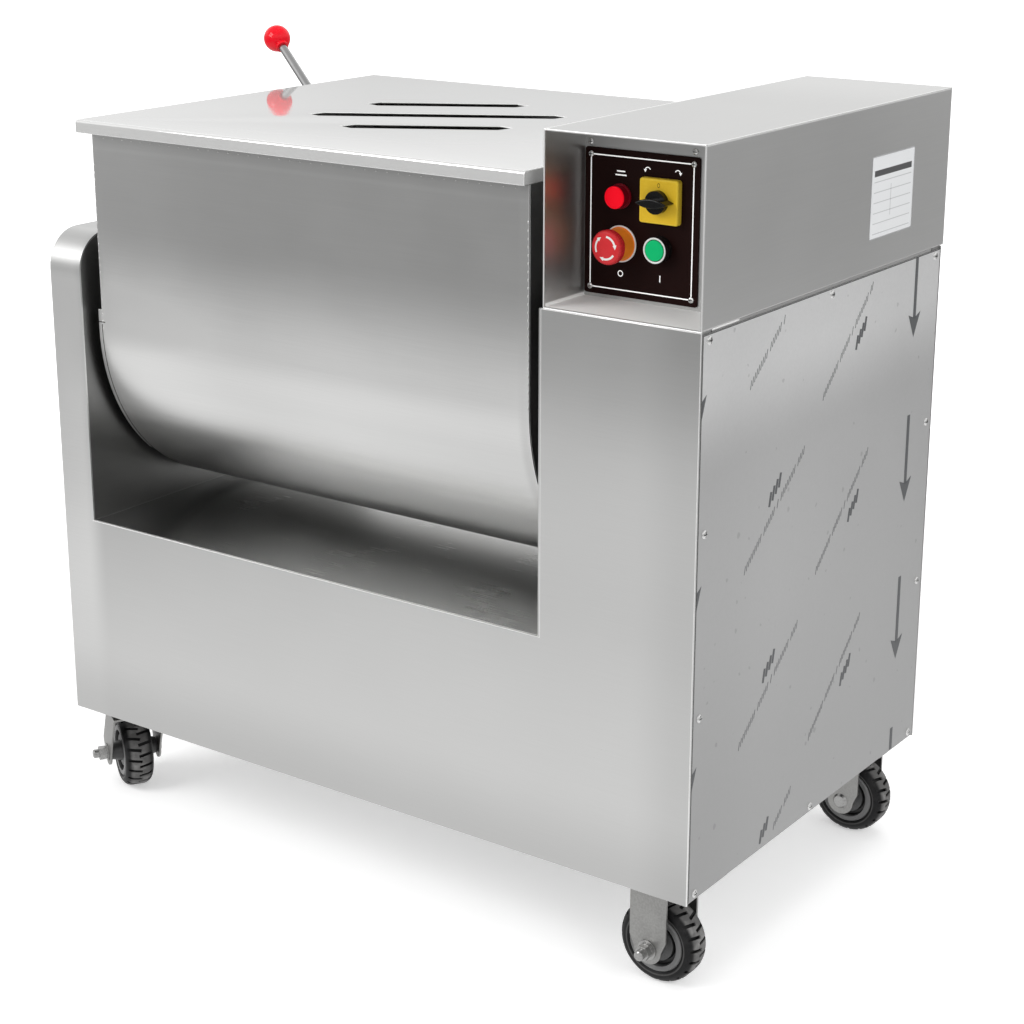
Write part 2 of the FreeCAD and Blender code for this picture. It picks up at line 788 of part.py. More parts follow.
def control_places():
    """Centres of lamp, switch, stop and start on the panel, in the row's own X and Z."""
    return {
        "lamp": ("at.panel_x - dims.button_left", "at.panel_z + dims.button_up"),
        "switch": ("at.panel_x + dims.button_left", "at.panel_z + dims.button_up"),
        "stop": ("at.panel_x - dims.button_right", "at.panel_z - dims.button_down"),
        "start": ("at.panel_x + dims.button_right", "at.panel_z - dims.button_down"),
    }


CONTROLS = control_places()
PLATE_SCREWS = [
    (f"at.plate_x + {u}", f"at.plate_z + {v}")
    for u in ("dims.plate_screw_inset", "dims.plate_width - dims.plate_screw_inset")
    for v in ("dims.plate_screw_inset", "dims.plate_height - dims.plate_screw_inset")
]
BACKING_SCREWS = [
    ("at.plate_x + 6", "at.plate_z + dims.plate_height + 5.5"),
    ("at.plate_x + dims.plate_width - 7", "at.plate_z + dims.plate_height + 5.5"),
    ("at.plate_x + dims.plate_width + 8", "at.plate_z + dims.plate_height - 6"),
    ("at.plate_x + dims.plate_width + 8", "at.plate_z + 6"),
]


def panel_holes(drawing, places, radius):
    """Round holes at places given in the row's frame."""
    for x, z in places:
        circle(drawing, x, z, radius)


backing = body("backing_plate", "0", "at.backing_y", "0")
backing_sketch = sketch(backing, "XZ_Plane")
rectangle(backing_sketch, "at.box_x + dims.sheet", "at.top_z + dims.sheet",
          "at.right_x - dims.sheet", "at.top_z + dims.box_height - dims.sheet")
panel_holes(backing_sketch, CONTROLS.values(), "dims.barrel_radius + dims.hole_play")
panel_holes(backing_sketch, PLATE_SCREWS + BACKING_SCREWS, "2 + dims.hole_play")
pad(backing_sketch, "dims.sheet", back=True)
corner_radius = "(dims.box_bend - dims.sheet)"
soften(backing, corner_radius, lambda e: straight(AXIS_Y)(e) and e.Length > 1
       and abs(e.CenterOfMass.x - val("at.panel_x")) > val("dims.plate_width / 2"))
node(backing)

plate = body("control_plate", "0", "at.plate_y", "0")
plate_sketch = sketch(plate, "XZ_Plane")
rounded(plate_sketch, "at.plate_x", "at.plate_z", "at.plate_x + dims.plate_width",
        "at.plate_z + dims.plate_height", "dims.plate_corner")
panel_holes(plate_sketch, CONTROLS.values(), "dims.barrel_radius + dims.hole_play")
panel_holes(plate_sketch, PLATE_SCREWS, "2 + dims.hole_play")
pad(plate_sketch, "dims.plate_thick", back=True)
node(plate)

# The pan screw lies along X and is turned to face the front
panel_screw = spun(pan_screw(3.5, 2.0, 2.0, val("dims.plate_thick + dims.sheet")), ORIGIN, AXIS_Z, -90)
thin_screw = spun(pan_screw(3.5, 2.0, 2.0, val("dims.sheet")), ORIGIN, AXIS_Z, -90)
group("panel_screws",
      [moved(panel_screw, val(x), val("at.plate_y"), val(z)) for x, z in PLATE_SCREWS]
      + [moved(thin_screw, val(x), val("at.backing_y"), val(z)) for x, z in BACKING_SCREWS])

# Controls. Each is turned about the Y axis: u is the radius, v the depth behind the plate's face



def control(label, corners, which):
    """Body turned about the line of one control."""
    x, z = CONTROLS[which]
    return node(turned(label, corners, x, "at.plate_y", z))


control("power_lamp", [
    ("0", "-14"), ("10.7", "-14", "1.5", "left"), ("12.2", "-12.5"), ("12.2", "-2.5"), ("13.6", "-2.5"),
    ("13.6", "0"), ("dims.barrel_radius", "0"), ("dims.barrel_radius", "dims.barrel_length"),
    ("0", "dims.barrel_length"),
], "lamp")
control("estop_collar", [
    ("6.3", "-12"), ("14", "-12"), ("17.5", "-1.5"), ("20", "-1.5"), ("20", "0"),
    ("dims.barrel_radius", "0"), ("dims.barrel_radius", "dims.barrel_length"),
    ("6.3", "dims.barrel_length"),
], "stop")
control("start_bezel", [
    ("11.5", "-5"), ("11.5", "-12"), ("13.3", "-13"), ("14.5", "-12"), ("14.5", "0"),
    ("dims.barrel_radius", "0"), ("dims.barrel_radius", "dims.barrel_length"),
    ("4.3", "dims.barrel_length"), ("4.3", "-5"),
], "start")
control("start_button", [
    ("0", "-13.5"), ("10.2", "-13.5", "1", "left"), ("11.2", "-12.5"), ("11.2", "-9.5"), ("4", "-9.5"),
    ("4", "dims.barrel_length - 6"), ("0", "dims.barrel_length - 6"),
], "start")
control("estop_stem", [
    ("0", "-26"), ("5", "-26"), ("6", "-25"), ("6", "dims.barrel_length - 6"),
    ("0", "dims.barrel_length - 6"),
], "stop")
control("estop_head", [
    ("0", "-31.5", "86.083", "left"), ("16", "-30", "3.5", "left"), ("18.8", "-27"), ("18.8", "-21"), ("17", "-18"),
    ("6 + dims.run_play", "-18"), ("6 + dims.run_play", "-26 - dims.run_play"), ("0", "-26 - dims.run_play"),
], "stop")

switch_x, switch_z = CONTROLS["switch"]
switch = body("switch_plate", switch_x, "at.plate_y", switch_z)
switch_sketch = sketch(switch, "XZ_Plane")
rounded(switch_sketch, "-24", "-24", "24", "24", "3")
circle(switch_sketch, "0", "0", "5 + dims.run_play")
pad(switch_sketch, "8")
barrel = sketch(switch, "XZ_Plane")
circle(barrel, "0", "0", "dims.barrel_radius")
circle(barrel, "0", "0", "5 + dims.run_play")
pad(barrel, "dims.barrel_length", back=True)
soften(switch, "2", lambda e: abs(e.CenterOfMass.y + 8) < 0.01 and e.Length > 10
       and e.Curve.TypeId == "Part::GeomLine")
node(switch)

knob = body("switch_knob", switch_x, "at.plate_y", switch_z)
knob_base = sketch(knob, "XZ_Plane", "8.4")
circle(knob_base, "0", "0", "12.5")
pad(knob_base, "7")
grip = sketch(knob, "XZ_Plane", "8.4")
outline(grip, [("-19.5", "0", "40", "left"), ("19.5", "0", "40", "left")])
pad(grip, "17")
spindle = sketch(knob, "XZ_Plane", "8.4")
circle(spindle, "0", "0", "5")
pad(spindle, "8.4 + dims.barrel_length - 4", back=True)
soften(knob, "1.5", lambda e: abs(e.CenterOfMass.y + 25.4) < 0.01)
node(knob)

# Contact blocks behind the panel, and the switchgear on its rail at the back of the box

block_width = val("dims.block_width")
block_height = val("dims.block_height")
block_depth = val("dims.block_depth")
terminal = val("dims.terminal")
blocks = []
for x, z in CONTROLS.values():
    low = Vector(val(x) - block_width / 2, val("at.plate_y + dims.barrel_length"), val(z) - block_height / 2)
    block = Part.makeBox(block_width, block_depth, block_height, low)
    for step in (-1, 1):
        place = Vector(val(x) + step * block_width * 0.28, low.y + block_depth, val(z))
        block = block.fuse(Part.makeCylinder(terminal, terminal, place, AXIS_Y))
    blocks.append(block)
group("contact_blocks", blocks)

gear_y = val("at.gear_y")
floor_z = val("at.top_z + dims.sheet")
rail_x = val("at.box_x + at.box_width / 2")
rail_width = val("dims.rail_width")
rail_length = val("dims.rail_length")
rail_height = val("dims.rail_height")


def contactor(length, height, y):
    """Contactor or relay on the rail: a stepped block with a row of terminals on each side."""
    width = val("dims.contactor_width")
    low_z = floor_z + rail_height
    step_z = low_z + height * 0.6
    base = Part.makeBox(width, length, height * 0.6, Vector(rail_x - width / 2, y, low_z))
    top = Part.makeBox(width * 0.6, length, height * 0.4, Vector(rail_x - width * 0.3, y, step_z))
    shape = base.fuse(top)
    for side in (-1, 1):
        for step in range(3):
            spot = Vector(rail_x + side * width * 0.41, y + length * (step + 0.5) / 3, step_z)
            shape = shape.fuse(Part.makeCylinder(terminal, terminal, spot))
    return shape.removeSplitter()


rail = Part.makeBox(rail_width, rail_length, rail_height, Vector(rail_x - rail_width / 2, gear_y, floor_z))
channel = Part.makeBox(rail_width * 0.7, rail_length, rail_height,
                       Vector(rail_x - rail_width * 0.35, gear_y, floor_z + rail_height * 0.25))
first_y = gear_y + (rail_length - val("2 * dims.contactor_step + dims.relay_length")) / 2
group("switchgear", [
    rail.cut(channel),
    contactor(val("dims.contactor_length"), val("dims.contactor_height"), first_y),
    contactor(val("dims.contactor_length"), val("dims.contactor_height"), first_y + val("dims.contactor_step")),
    contactor(val("dims.relay_length"), val("dims.relay_height"), first_y + val("2 * dims.contactor_step")),
])

# Cable gland in the rear sheet

gland_thread = "dims.gland_bore + 5"
gland = body("cable_gland", "at.left_x + " + vent_x, "at.rear_y", "at.base_z + dims.gland_height")
gland_sketch = sketch(gland, "XY_Plane")
outline(gland_sketch, [
    ("dims.gland_bore", "-14"), (gland_thread, "-14"), (gland_thread, "0"), ("15", "0"), ("15", "7"),
    ("13", "8"), ("13", "dims.gland_reach - 6", "6", "left"), ("8", "dims.gland_reach"),
    ("dims.gland_bore", "dims.gland_reach"),
])
revolve(gland_sketch)
nut = sketch(gland, "XZ_Plane", "dims.sheet")
NUT_SIDE = 16
outline(nut, [(str(round(NUT_SIDE * math.cos(math.radians(60 * i)), 4)),
               str(round(NUT_SIDE * math.sin(math.radians(60 * i)), 4))) for i in range(6)])
circle(nut, "0", "0", gland_thread)
pad(nut, "6")
node(gland)

# Hub bearings on the two inner plates

bearing_bore = val("dims.hub_radius + dims.run_play")
flange_radius = val("dims.bearing_flange")
flange_thick = val("dims.bearing_flange_thick")
boss_radius = val("dims.bearing_boss")
bearing_length = val("dims.bearing_length")
bolt_circle = val("dims.bearing_bolt_circle")
axis_y = val("at.axis_y")
axis_z = val("at.axis_z")
bearing_seats = {1: val("at.column_x + dims.sheet"), -1: val("at.arm_x - dims.sheet")}
BOLT_ANGLES = (45, 135, 225, 315)


def on_axis(radius, length, x, direction):
    """Cylinder on the tank's axis, from x towards the direction."""
    return Part.makeCylinder(radius, length, Vector(x, axis_y, axis_z), Vector(direction, 0, 0))


def around_axis(radius, angle):
    """Y and Z of a place round the tank's axis."""
    turn = math.radians(angle)
    return axis_y + radius * math.cos(turn), axis_z + radius * math.sin(turn)


bearings = []
bearing_bolts = []
for direction, seat in bearing_seats.items():
    housing = on_axis(flange_radius, flange_thick, seat, direction)
    housing = housing.fuse(on_axis(boss_radius, bearing_length, seat, direction))
    housing = housing.cut(on_axis(bearing_bore, bearing_length, seat, direction))
    for angle in BOLT_ANGLES:
        y, z = around_axis(bolt_circle, angle)
        toward = Vector(direction, 0, 0)
        clear = Part.makeCylinder(bolt_radius + 0.2, flange_thick, Vector(seat, y, z), toward)
        pocket_low = Vector(seat + direction * flange_thick, y, z)
        pocket_round = Part.makeCylinder(8.5, bearing_length, pocket_low, toward)
        housing = housing.cut(clear).cut(pocket_round)
        start = seat - direction * val("dims.sheet")
        shank = Part.makeCylinder(bolt_radius, flange_thick + val("dims.sheet"), Vector(start, y, z), toward)
        head = Part.makeCylinder(6.5, 5, Vector(seat + direction * flange_thick, y, z), toward)
        bearing_bolts.append(shank.fuse(head).removeSplitter())
    bearings.append(housing.removeSplitter())
group("bearing_housings", bearings)
group("bearing_bolts", bearing_bolts)

# Worm gearbox on the shaft's end, hung on four standoffs from the column's inner plate

gearbox = body("gearbox", "at.gearbox_x", "at.axis_y", "at.axis_z")
case = sketch(gearbox, "YZ_Plane")
outline(case, [
    ("0", "dims.gearbox_radius", "dims.gearbox_radius", "left"),
    ("-dims.gearbox_radius", "0", "dims.gearbox_radius", "left"),
    ("0", "-dims.gearbox_radius"),
    ("dims.worm_offset + dims.worm_radius", "-dims.gearbox_radius"),
    ("dims.worm_offset + dims.worm_radius", "dims.gearbox_radius - dims.worm_radius", "dims.worm_radius", "left"),
    ("dims.worm_offset", "dims.gearbox_radius"),
])
pad(case, "dims.gearbox_width")
mount_flange = sketch(gearbox, "YZ_Plane")
circle(mount_flange, "0", "0", "dims.gearbox_flange")
pad(mount_flange, "dims.gearbox_flange_thick")
hollow_shaft = sketch(gearbox, "YZ_Plane", "-dims.output_reach")
circle(hollow_shaft, "0", "0", "dims.output_radius")
pad(hollow_shaft, "dims.gearbox_width + 3 * dims.output_reach")
bore = sketch(gearbox, "YZ_Plane", "-dims.output_reach")
circle(bore, "0", "0", "dims.drive_radius + dims.run_play")
pocket(bore, "dims.gearbox_width + 3 * dims.output_reach")
worm_flange = sketch(gearbox, "XY_Plane", "-dims.gearbox_radius")
circle(worm_flange, "dims.gearbox_width / 2", "dims.worm_offset", "dims.worm_flange")
pad(worm_flange, "dims.worm_flange_thick", back=True)
worm_bore = sketch(gearbox, "XY_Plane", "-dims.gearbox_radius - dims.worm_flange_thick")
circle(worm_bore, "dims.gearbox_width / 2", "dims.worm_offset", "dims.motor_shaft + dims.run_play")
pocket(worm_bore, "dims.worm_bore_depth")
node(gearbox)

standoff_list = []
for side in (1, -1):
    for level in (1, -1):
        y = axis_y + side * val(STANDOFF_CIRCLE + " * cos(20)")
        z = axis_z + level * val(STANDOFF_CIRCLE + " * sin(20)")
        seat = val("at.column_x + dims.sheet")
        length = val("at.gearbox_x") - seat
        rod = Part.makeCylinder(val("dims.standoff_radius"), length, Vector(seat, y, z), AXIS_X)
        stud = Part.makeCylinder(bolt_radius, val("dims.sheet"), Vector(seat, y, z), Vector(-1, 0, 0))
        standoff_list.append(rod.fuse(stud))
group("gearbox_standoffs", standoff_list)

# Motor below the gearbox: finned case, fan cowl and the turning rotor with its fan

motor = body("motor_case", "at.motor_x", "at.motor_y", "at.motor_z")
motor_profile = sketch(motor, "XZ_Plane")
outline(motor_profile, [
    ("dims.motor_shaft + 1", "0"), ("dims.motor_spigot", "0"),
    ("dims.motor_spigot", "-dims.motor_spigot_length"),
    ("dims.motor_radius", "-dims.motor_spigot_length"),
    ("dims.motor_radius", "-dims.motor_length + dims.cowl_lap"),
    ("dims.motor_radius + dims.fin_reach", "-dims.motor_length + dims.cowl_lap"),
    ("dims.motor_radius + dims.fin_reach", "-dims.motor_length"), ("dims.motor_shaft + 1", "-dims.motor_length"),
    ("dims.motor_shaft + 1", "-dims.motor_length + dims.motor_end"),
    ("dims.motor_bore", "-dims.motor_length + dims.motor_end"),
    ("dims.motor_bore", "-dims.motor_spigot_length - dims.motor_end"),
    ("dims.motor_shaft + 1", "-dims.motor_spigot_length - dims.motor_end"),
])
revolve(motor_profile)
fin = sketch(motor, "XZ_Plane", "-1.25")
rectangle(fin, "dims.motor_radius - 1", "-dims.motor_length + dims.cowl_lap",
          "dims.motor_radius + dims.fin_reach - 0.5", "-dims.motor_spigot_length - dims.motor_end - 2")
fin_pad = pad(fin, "2.5")
ring_of(fin_pad, "Z_Axis", "dims.fin_count")
terminal_box = sketch(motor, "XY_Plane", "-dims.terminal_drop")
rectangle(terminal_box, "-dims.terminal_width / 2", "dims.motor_radius - dims.motor_spigot_length",
          "dims.terminal_width / 2", "dims.motor_radius + dims.terminal_reach")
pad(terminal_box, "dims.terminal_height")
node(motor)

cowl = body("fan_cowl", "at.motor_x", "at.motor_y", "at.motor_z - dims.motor_length")
cowl_profile = sketch(cowl, "XZ_Plane")
outline(cowl_profile, [
    ("dims.motor_radius + dims.fin_reach", "dims.cowl_lap - 1"),
    ("dims.motor_radius + dims.fin_reach + 1.5", "dims.cowl_lap - 1"),
    ("dims.motor_radius + dims.fin_reach + 1.5", "-dims.cowl_length + 8", "8", "right"),
    ("dims.motor_radius + dims.fin_reach - 6.5", "-dims.cowl_length"), ("0", "-dims.cowl_length"),
    ("0", "-dims.cowl_length + 1.5"),
    ("dims.motor_radius + dims.fin_reach - 6.5", "-dims.cowl_length + 1.5", "6.5", "left"),
    ("dims.motor_radius + dims.fin_reach", "-dims.cowl_length + 8"),
])
revolve(cowl_profile)
grille = sketch(cowl, "XY_Plane", "-dims.cowl_length")
outline(grille, [("20", "-3"), ("62", "-3"), ("62", "3"), ("20", "3")])
slot = pocket(grille, "1.5")
ring_of(slot, "Z_Axis", "12")
node(cowl)

rotor = body("motor_rotor", "at.motor_x", "at.motor_y", "at.motor_z")
rotor_profile = sketch(rotor, "XZ_Plane")
rotor_top = "-dims.motor_spigot_length - dims.motor_end - dims.rotor_gap"
rotor_low = "-dims.motor_length + dims.motor_end + dims.rotor_gap"
fan_top = "-dims.motor_length - dims.fan_gap"
fan_low = "-dims.motor_length - dims.fan_gap - dims.fan_width"
outline(rotor_profile, [
    ("0", "dims.rotor_shaft_up"), ("dims.motor_shaft", "dims.rotor_shaft_up"), ("dims.motor_shaft", rotor_top),
    ("dims.rotor_radius", rotor_top), ("dims.rotor_radius", rotor_low), ("dims.motor_shaft", rotor_low),
    ("dims.motor_shaft", fan_top), ("dims.fan_hub", fan_top), ("dims.fan_hub", fan_low), ("0", fan_low),
])
revolve(rotor_profile)
blade = sketch(rotor, "XZ_Plane", "-1.5")
rectangle(blade, "dims.fan_hub - 2", fan_low, "dims.fan_radius", f"{fan_top} - 2")
blade_pad = pad(blade, "3")
ring_of(blade_pad, "Z_Axis", "8")
node(rotor)

# Tank: rolled trough with a flat front wall and a leaning rear wall


def trough(drawing, inset, top_inset="0"):
    """Outline of the trough, drawn about the tank's axis and moved inwards by an inset."""
    radius = f"(at.tank_radius - {inset})"
    top = f"(dims.rim_rise - {top_inset})"
    lean_u = f"({radius} * cos(at.slope))"
    lean_v = f"(-{radius} * sin(at.slope))"
    rim_u = f"({radius} / cos(at.slope) + {top} * tan(at.slope))"
    return radius, top, lean_u, lean_v, rim_u


shell = body("tank_shell", "at.tank_left", "at.axis_y", "at.axis_z")
shell_sketch = sketch(shell, "YZ_Plane")
outer = trough(shell_sketch, "0")
inner = trough(shell_sketch, "dims.tank_sheet")
outline(shell_sketch, [
    (f"-{outer[0]}", outer[1]),
    (f"-{outer[0]}", "0", outer[0], "left"),
    ("0", f"-{outer[0]}", outer[0], "left"),
    (outer[2], outer[3]),
    (outer[4], outer[1]),
    (inner[4], inner[1]),
    (inner[2], inner[3], inner[0], "right"),
    ("0", f"-{inner[0]}", inner[0], "right"),
    (f"-{inner[0]}", "0"),
    (f"-{inner[0]}", inner[1]),
])
pad(shell_sketch, "at.tank_length")
tab = sketch(shell, "YZ_Plane")
TAB_ANGLE = 48
outline(tab, [
    (f"-{outer[0]}", "24"),
    (f"-{outer[0]}", "0", outer[0], "left"),
    (f"-{outer[0]} * cos({TAB_ANGLE})", f"-{outer[0]} * sin({TAB_ANGLE})"),
    (f"-{inner[0]} * cos({TAB_ANGLE})", f"-{inner[0]} * sin({TAB_ANGLE})", inner[0], "right"),
    (f"-{inner[0]}", "0"),
    (f"-{inner[0]}", "24"),
])
pad(tab, "dims.tab_reach", back=True)
node(shell)


def end_plate(label_x):
    """End wall of the tank, inside the shell, with the shaft's hole."""
    owner = body("end_wall", label_x, "at.axis_y", "at.axis_z")
    drawing = sketch(owner, "YZ_Plane")
    shape = trough(drawing, "dims.tank_sheet")
    outline(drawing, [
        (f"-{shape[0]}", shape[1]),
        (f"-{shape[0]}", "0", shape[0], "left"),
        ("0", f"-{shape[0]}", shape[0], "left"),
        (shape[2], shape[3]),
        (shape[4], shape[1]),
    ])
    circle(drawing, "0", "0", "dims.shaft_radius + 1")
    pad(drawing, "dims.end_sheet")
    return owner


left_wall = end_plate("at.tank_left")
right_wall = end_plate("at.tank_right - dims.end_sheet")
doc.recompute()
group("tank_end_walls", [left_wall.Shape.copy(), right_wall.Shape.copy()])

hubs = []
hub_length = {
    -1: val("dims.tank_left_gap + dims.sheet + dims.bearing_length"),
    1: val("dims.tank_right_gap + dims.sheet + dims.bearing_length"),
}
hub_seats = {-1: val("at.tank_left"), 1: val("at.tank_right")}
shaft_bore = val("dims.shaft_radius + dims.run_play")
for direction, seat in hub_seats.items():
    hub = on_axis(val("dims.hub_radius"), hub_length[direction], seat, direction)
    hub = hub.fuse(on_axis(val("dims.hub_disc"), val("dims.hub_disc_thick"), seat, direction))
    depth = hub_length[direction] - (5 if direction < 0 else 0)
    hubs.append(hub.cut(on_axis(shaft_bore, depth, seat, direction)).removeSplitter())
group("tank_hubs", hubs)

seals = []
for direction, seat in hub_seats.items():
    start = seat - direction * val("dims.end_sheet")
    seal = on_axis(val("dims.seal_radius"), val("dims.seal_length"), start, -direction)
    seals.append(seal.cut(on_axis(shaft_bore, val("dims.seal_length"), start, -direction)))
group("shaft_seals", seals)

# Tilt handle: rod from the tank's left end wall to the ball

foot = Vector(val("at.tank_left"), val("at.axis_y + dims.handle_foot_back"),
              val("at.axis_z + dims.handle_foot_up"))
ball_place = foot + Vector(-val("dims.handle_out"), val("dims.handle_back"), val("dims.handle_up"))
rod_way = (ball_place - foot).normalize()
rod_radius = val("dims.rod_radius")
ball_radius = val("dims.ball_radius")
rod_span = (ball_place - foot).Length
rod_shape = Part.makeCylinder(rod_radius, rod_span + 20, foot - rod_way * 20, rod_way)
boss = Part.makeCylinder(13, 26, foot + Vector(3, 0, 0), Vector(-1, 0, 0))
left_of_wall = Part.makeBox(400, 400, 400, foot + Vector(-400, -200, -200))
rod_shape = rod_shape.fuse(boss).common(left_of_wall)
ball_cut = Part.makeCylinder(rod_radius, rod_span, foot + rod_way * (rod_span - ball_radius * 0.3), rod_way)
group("tilt_handle", [rod_shape.cut(ball_cut).removeSplitter()])
ball = Part.makeSphere(ball_radius, ball_place)
ball = ball.cut(Part.makeCylinder(rod_radius, ball_radius * 2, ball_place - rod_way * ball_radius * 2.3, rod_way))
collar_start = ball_place - rod_way * (ball_radius + 2)
collar = Part.makeCylinder(9, 6, collar_start, rod_way).cut(
    Part.makeCylinder(rod_radius, 6, collar_start, rod_way))
group("ball_knob", [ball.fuse(collar).removeSplitter()])

# Lid with its hem and three slots, hinged along the tank's rear rim

lid = body("lid", "at.lid_left", "at.front_y - dims.lid_nose", "at.lid_z - dims.lid_hem")
lid_width = "(at.lid_right - at.lid_left)"
lid_depth = "(dims.cabinet_depth + dims.lid_nose + dims.lid_rear)"
lid_sketch = sketch(lid, "XY_Plane")
rectangle(lid_sketch, "0", "0", lid_width, lid_depth)
pad(lid_sketch, "dims.lid_hem + dims.lid_sheet")
soften(lid, "4", lambda e: abs(e.CenterOfMass.z - val("dims.lid_hem + dims.lid_sheet")) < 0.01
       and e.CenterOfMass.y < 1)
under = sketch(lid, "XY_Plane")
rectangle(under, "dims.lid_sheet", "dims.lid_sheet",
          f"{lid_width} - dims.lid_sheet", f"{lid_depth} - dims.lid_sheet")
pocket(under, "dims.lid_hem")
slots = sketch(lid, "XY_Plane", "dims.lid_hem")


def slot_outline(drawing, length, shift):
    """Slot with pointed ends, lying across the lid at the slot angle."""
    along = ("cos(dims.slot_angle)", "sin(dims.slot_angle)")
    half = f"({length} / 2)"
    side = "(dims.slot_width / 2)"
    taper = f"({length} / 2 - dims.slot_taper)"
    corners = []
    for a, b in ((f"-{half}", "0"), (f"-{taper}", f"-{side}"), (taper, f"-{side}"),
                 (half, "0"), (taper, side), (f"-{taper}", side)):
        across = f"({b} + {shift})"
        corners.append((f"{lid_width} / 2 + {a} * {along[0]} - {across} * {along[1]}",
                        f"{lid_depth} / 2 + {a} * {along[1]} + {across} * {along[0]}"))
    outline(drawing, corners)


slot_outline(slots, "dims.slot_long", "0")
slot_outline(slots, "dims.slot_short", "dims.slot_pitch")
slot_outline(slots, "dims.slot_short", "(-dims.slot_pitch)")
pocket(slots, "dims.lid_sheet")
node(lid)

hinge_y = val("at.hinge_y")
hinge_z = val("at.hinge_z")
pin_radius = val("dims.hinge_pin")
hinge_middle = val("(at.tank_left + at.tank_right) / 2")
hinge_spread = val("dims.hinge_spread")
lid_under = val("at.lid_z")
leaves = []
brackets = []
knuckle = val("dims.hinge_knuckle")
leaf_length = val("dims.leaf_length")
leaf_width = val("dims.leaf_width")
leaf_thick = val("dims.leaf_thick")
leaf_stem = val("dims.leaf_stem")
ear_thick = val("dims.ear_thick")
ear_gap = val("dims.ear_gap")
pin_end = val("dims.pin_end")


def wall_y(z):
    """Y of the rear wall's outer face at a height."""
    return axis_y + val("at.tank_radius / cos(at.slope)") + (z - axis_z) * val("tan(at.slope)")


def hinge_ear(x):
    """Ear welded to the rear wall, rounded about the hinge pin."""
    low = Vector(x, hinge_y, hinge_z - knuckle)
    high = Vector(x, hinge_y, hinge_z + knuckle)
    low_wall = Vector(x, wall_y(low.z), low.z)
    high_wall = Vector(x, wall_y(high.z), high.z)
    face = Part.Face(Part.Wire([
        Part.LineSegment(low_wall, low).toShape(),
        Part.Arc(low, Vector(x, hinge_y + knuckle, hinge_z), high).toShape(),
        Part.LineSegment(high, high_wall).toShape(),
        Part.LineSegment(high_wall, low_wall).toShape(),
    ]))
    return face.extrude(Vector(ear_thick, 0, 0))


for side in (-1, 1):
    x0 = hinge_middle + side * hinge_spread
    left = x0 - leaf_length / 2
    leaf_low = Vector(left, hinge_y - leaf_width / 2, lid_under - leaf_thick)
    leaf = Part.makeBox(leaf_length, leaf_width, leaf_thick, leaf_low)
    stem_low = Vector(left, hinge_y - leaf_stem / 2, hinge_z)
    stem = Part.makeBox(leaf_length, leaf_stem, lid_under - hinge_z, stem_low)
    on_axis = Vector(left, hinge_y, hinge_z)
    barrel_shape = Part.makeCylinder(knuckle, leaf_length, on_axis, AXIS_X)
    bore_shape = Part.makeCylinder(pin_radius + val("dims.run_play"), leaf_length, on_axis, AXIS_X)
    leaves.append(leaf.fuse(stem).fuse(barrel_shape).cut(bore_shape).removeSplitter())
    pin_start = left - ear_gap - ear_thick - pin_end
    pin = Part.makeCylinder(pin_radius, 2 * (x0 - pin_start), Vector(pin_start, hinge_y, hinge_z), AXIS_X)
    ears = hinge_ear(left - ear_gap - ear_thick).fuse(hinge_ear(left + leaf_length + ear_gap))
    brackets.append(ears.fuse(pin).removeSplitter())
group("hinge_brackets", brackets)
group("lid_hinge_leaves", leaves)

# Mixing shaft, turned with shoulders, and its paddles

shaft = body("mixing_shaft", "at.tank_left", "at.axis_y", "at.axis_z")
shaft_sketch = sketch(shaft, "XZ_Plane")
core_start = "dims.end_sheet + dims.seal_length + 1"
core_end = "at.tank_length - dims.end_sheet - dims.seal_length - 1"
left_end = "-dims.tank_left_gap - dims.sheet - dims.bearing_length + 8"
drive_start = "at.tank_length + dims.tank_right_gap + dims.sheet + dims.bearing_length + 3"
drive_end = "at.gearbox_x - at.tank_left + dims.gearbox_width + 14"
outline(shaft_sketch, [
    (left_end, "0"), (left_end, "dims.shaft_radius - 1"), (f"{left_end} + 1", "dims.shaft_radius"),
    (core_start, "dims.shaft_radius"), (core_start, "dims.core_radius"), (core_end, "dims.core_radius"),
    (core_end, "dims.shaft_radius"), (drive_start, "dims.shaft_radius"), (drive_start, "dims.drive_radius"),
    (f"{drive_end} - 1", "dims.drive_radius"), (drive_end, "dims.drive_radius - 1"), (drive_end, "0"),
])
revolve(shaft_sketch, "H_Axis")
node(shaft)

paddle_reach = val("at.tank_radius - dims.tank_sheet - dims.paddle_gap")
core = val("dims.core_radius")
hub_outer = core + val("dims.paddle_hub_wall")
hub_long = val("dims.paddle_hub_length")
arm_radius = val("dims.paddle_arm")
blade_width = val("dims.paddle_width")
blade_depth = val("dims.paddle_depth")
blade_thick = val("dims.paddle_thick")


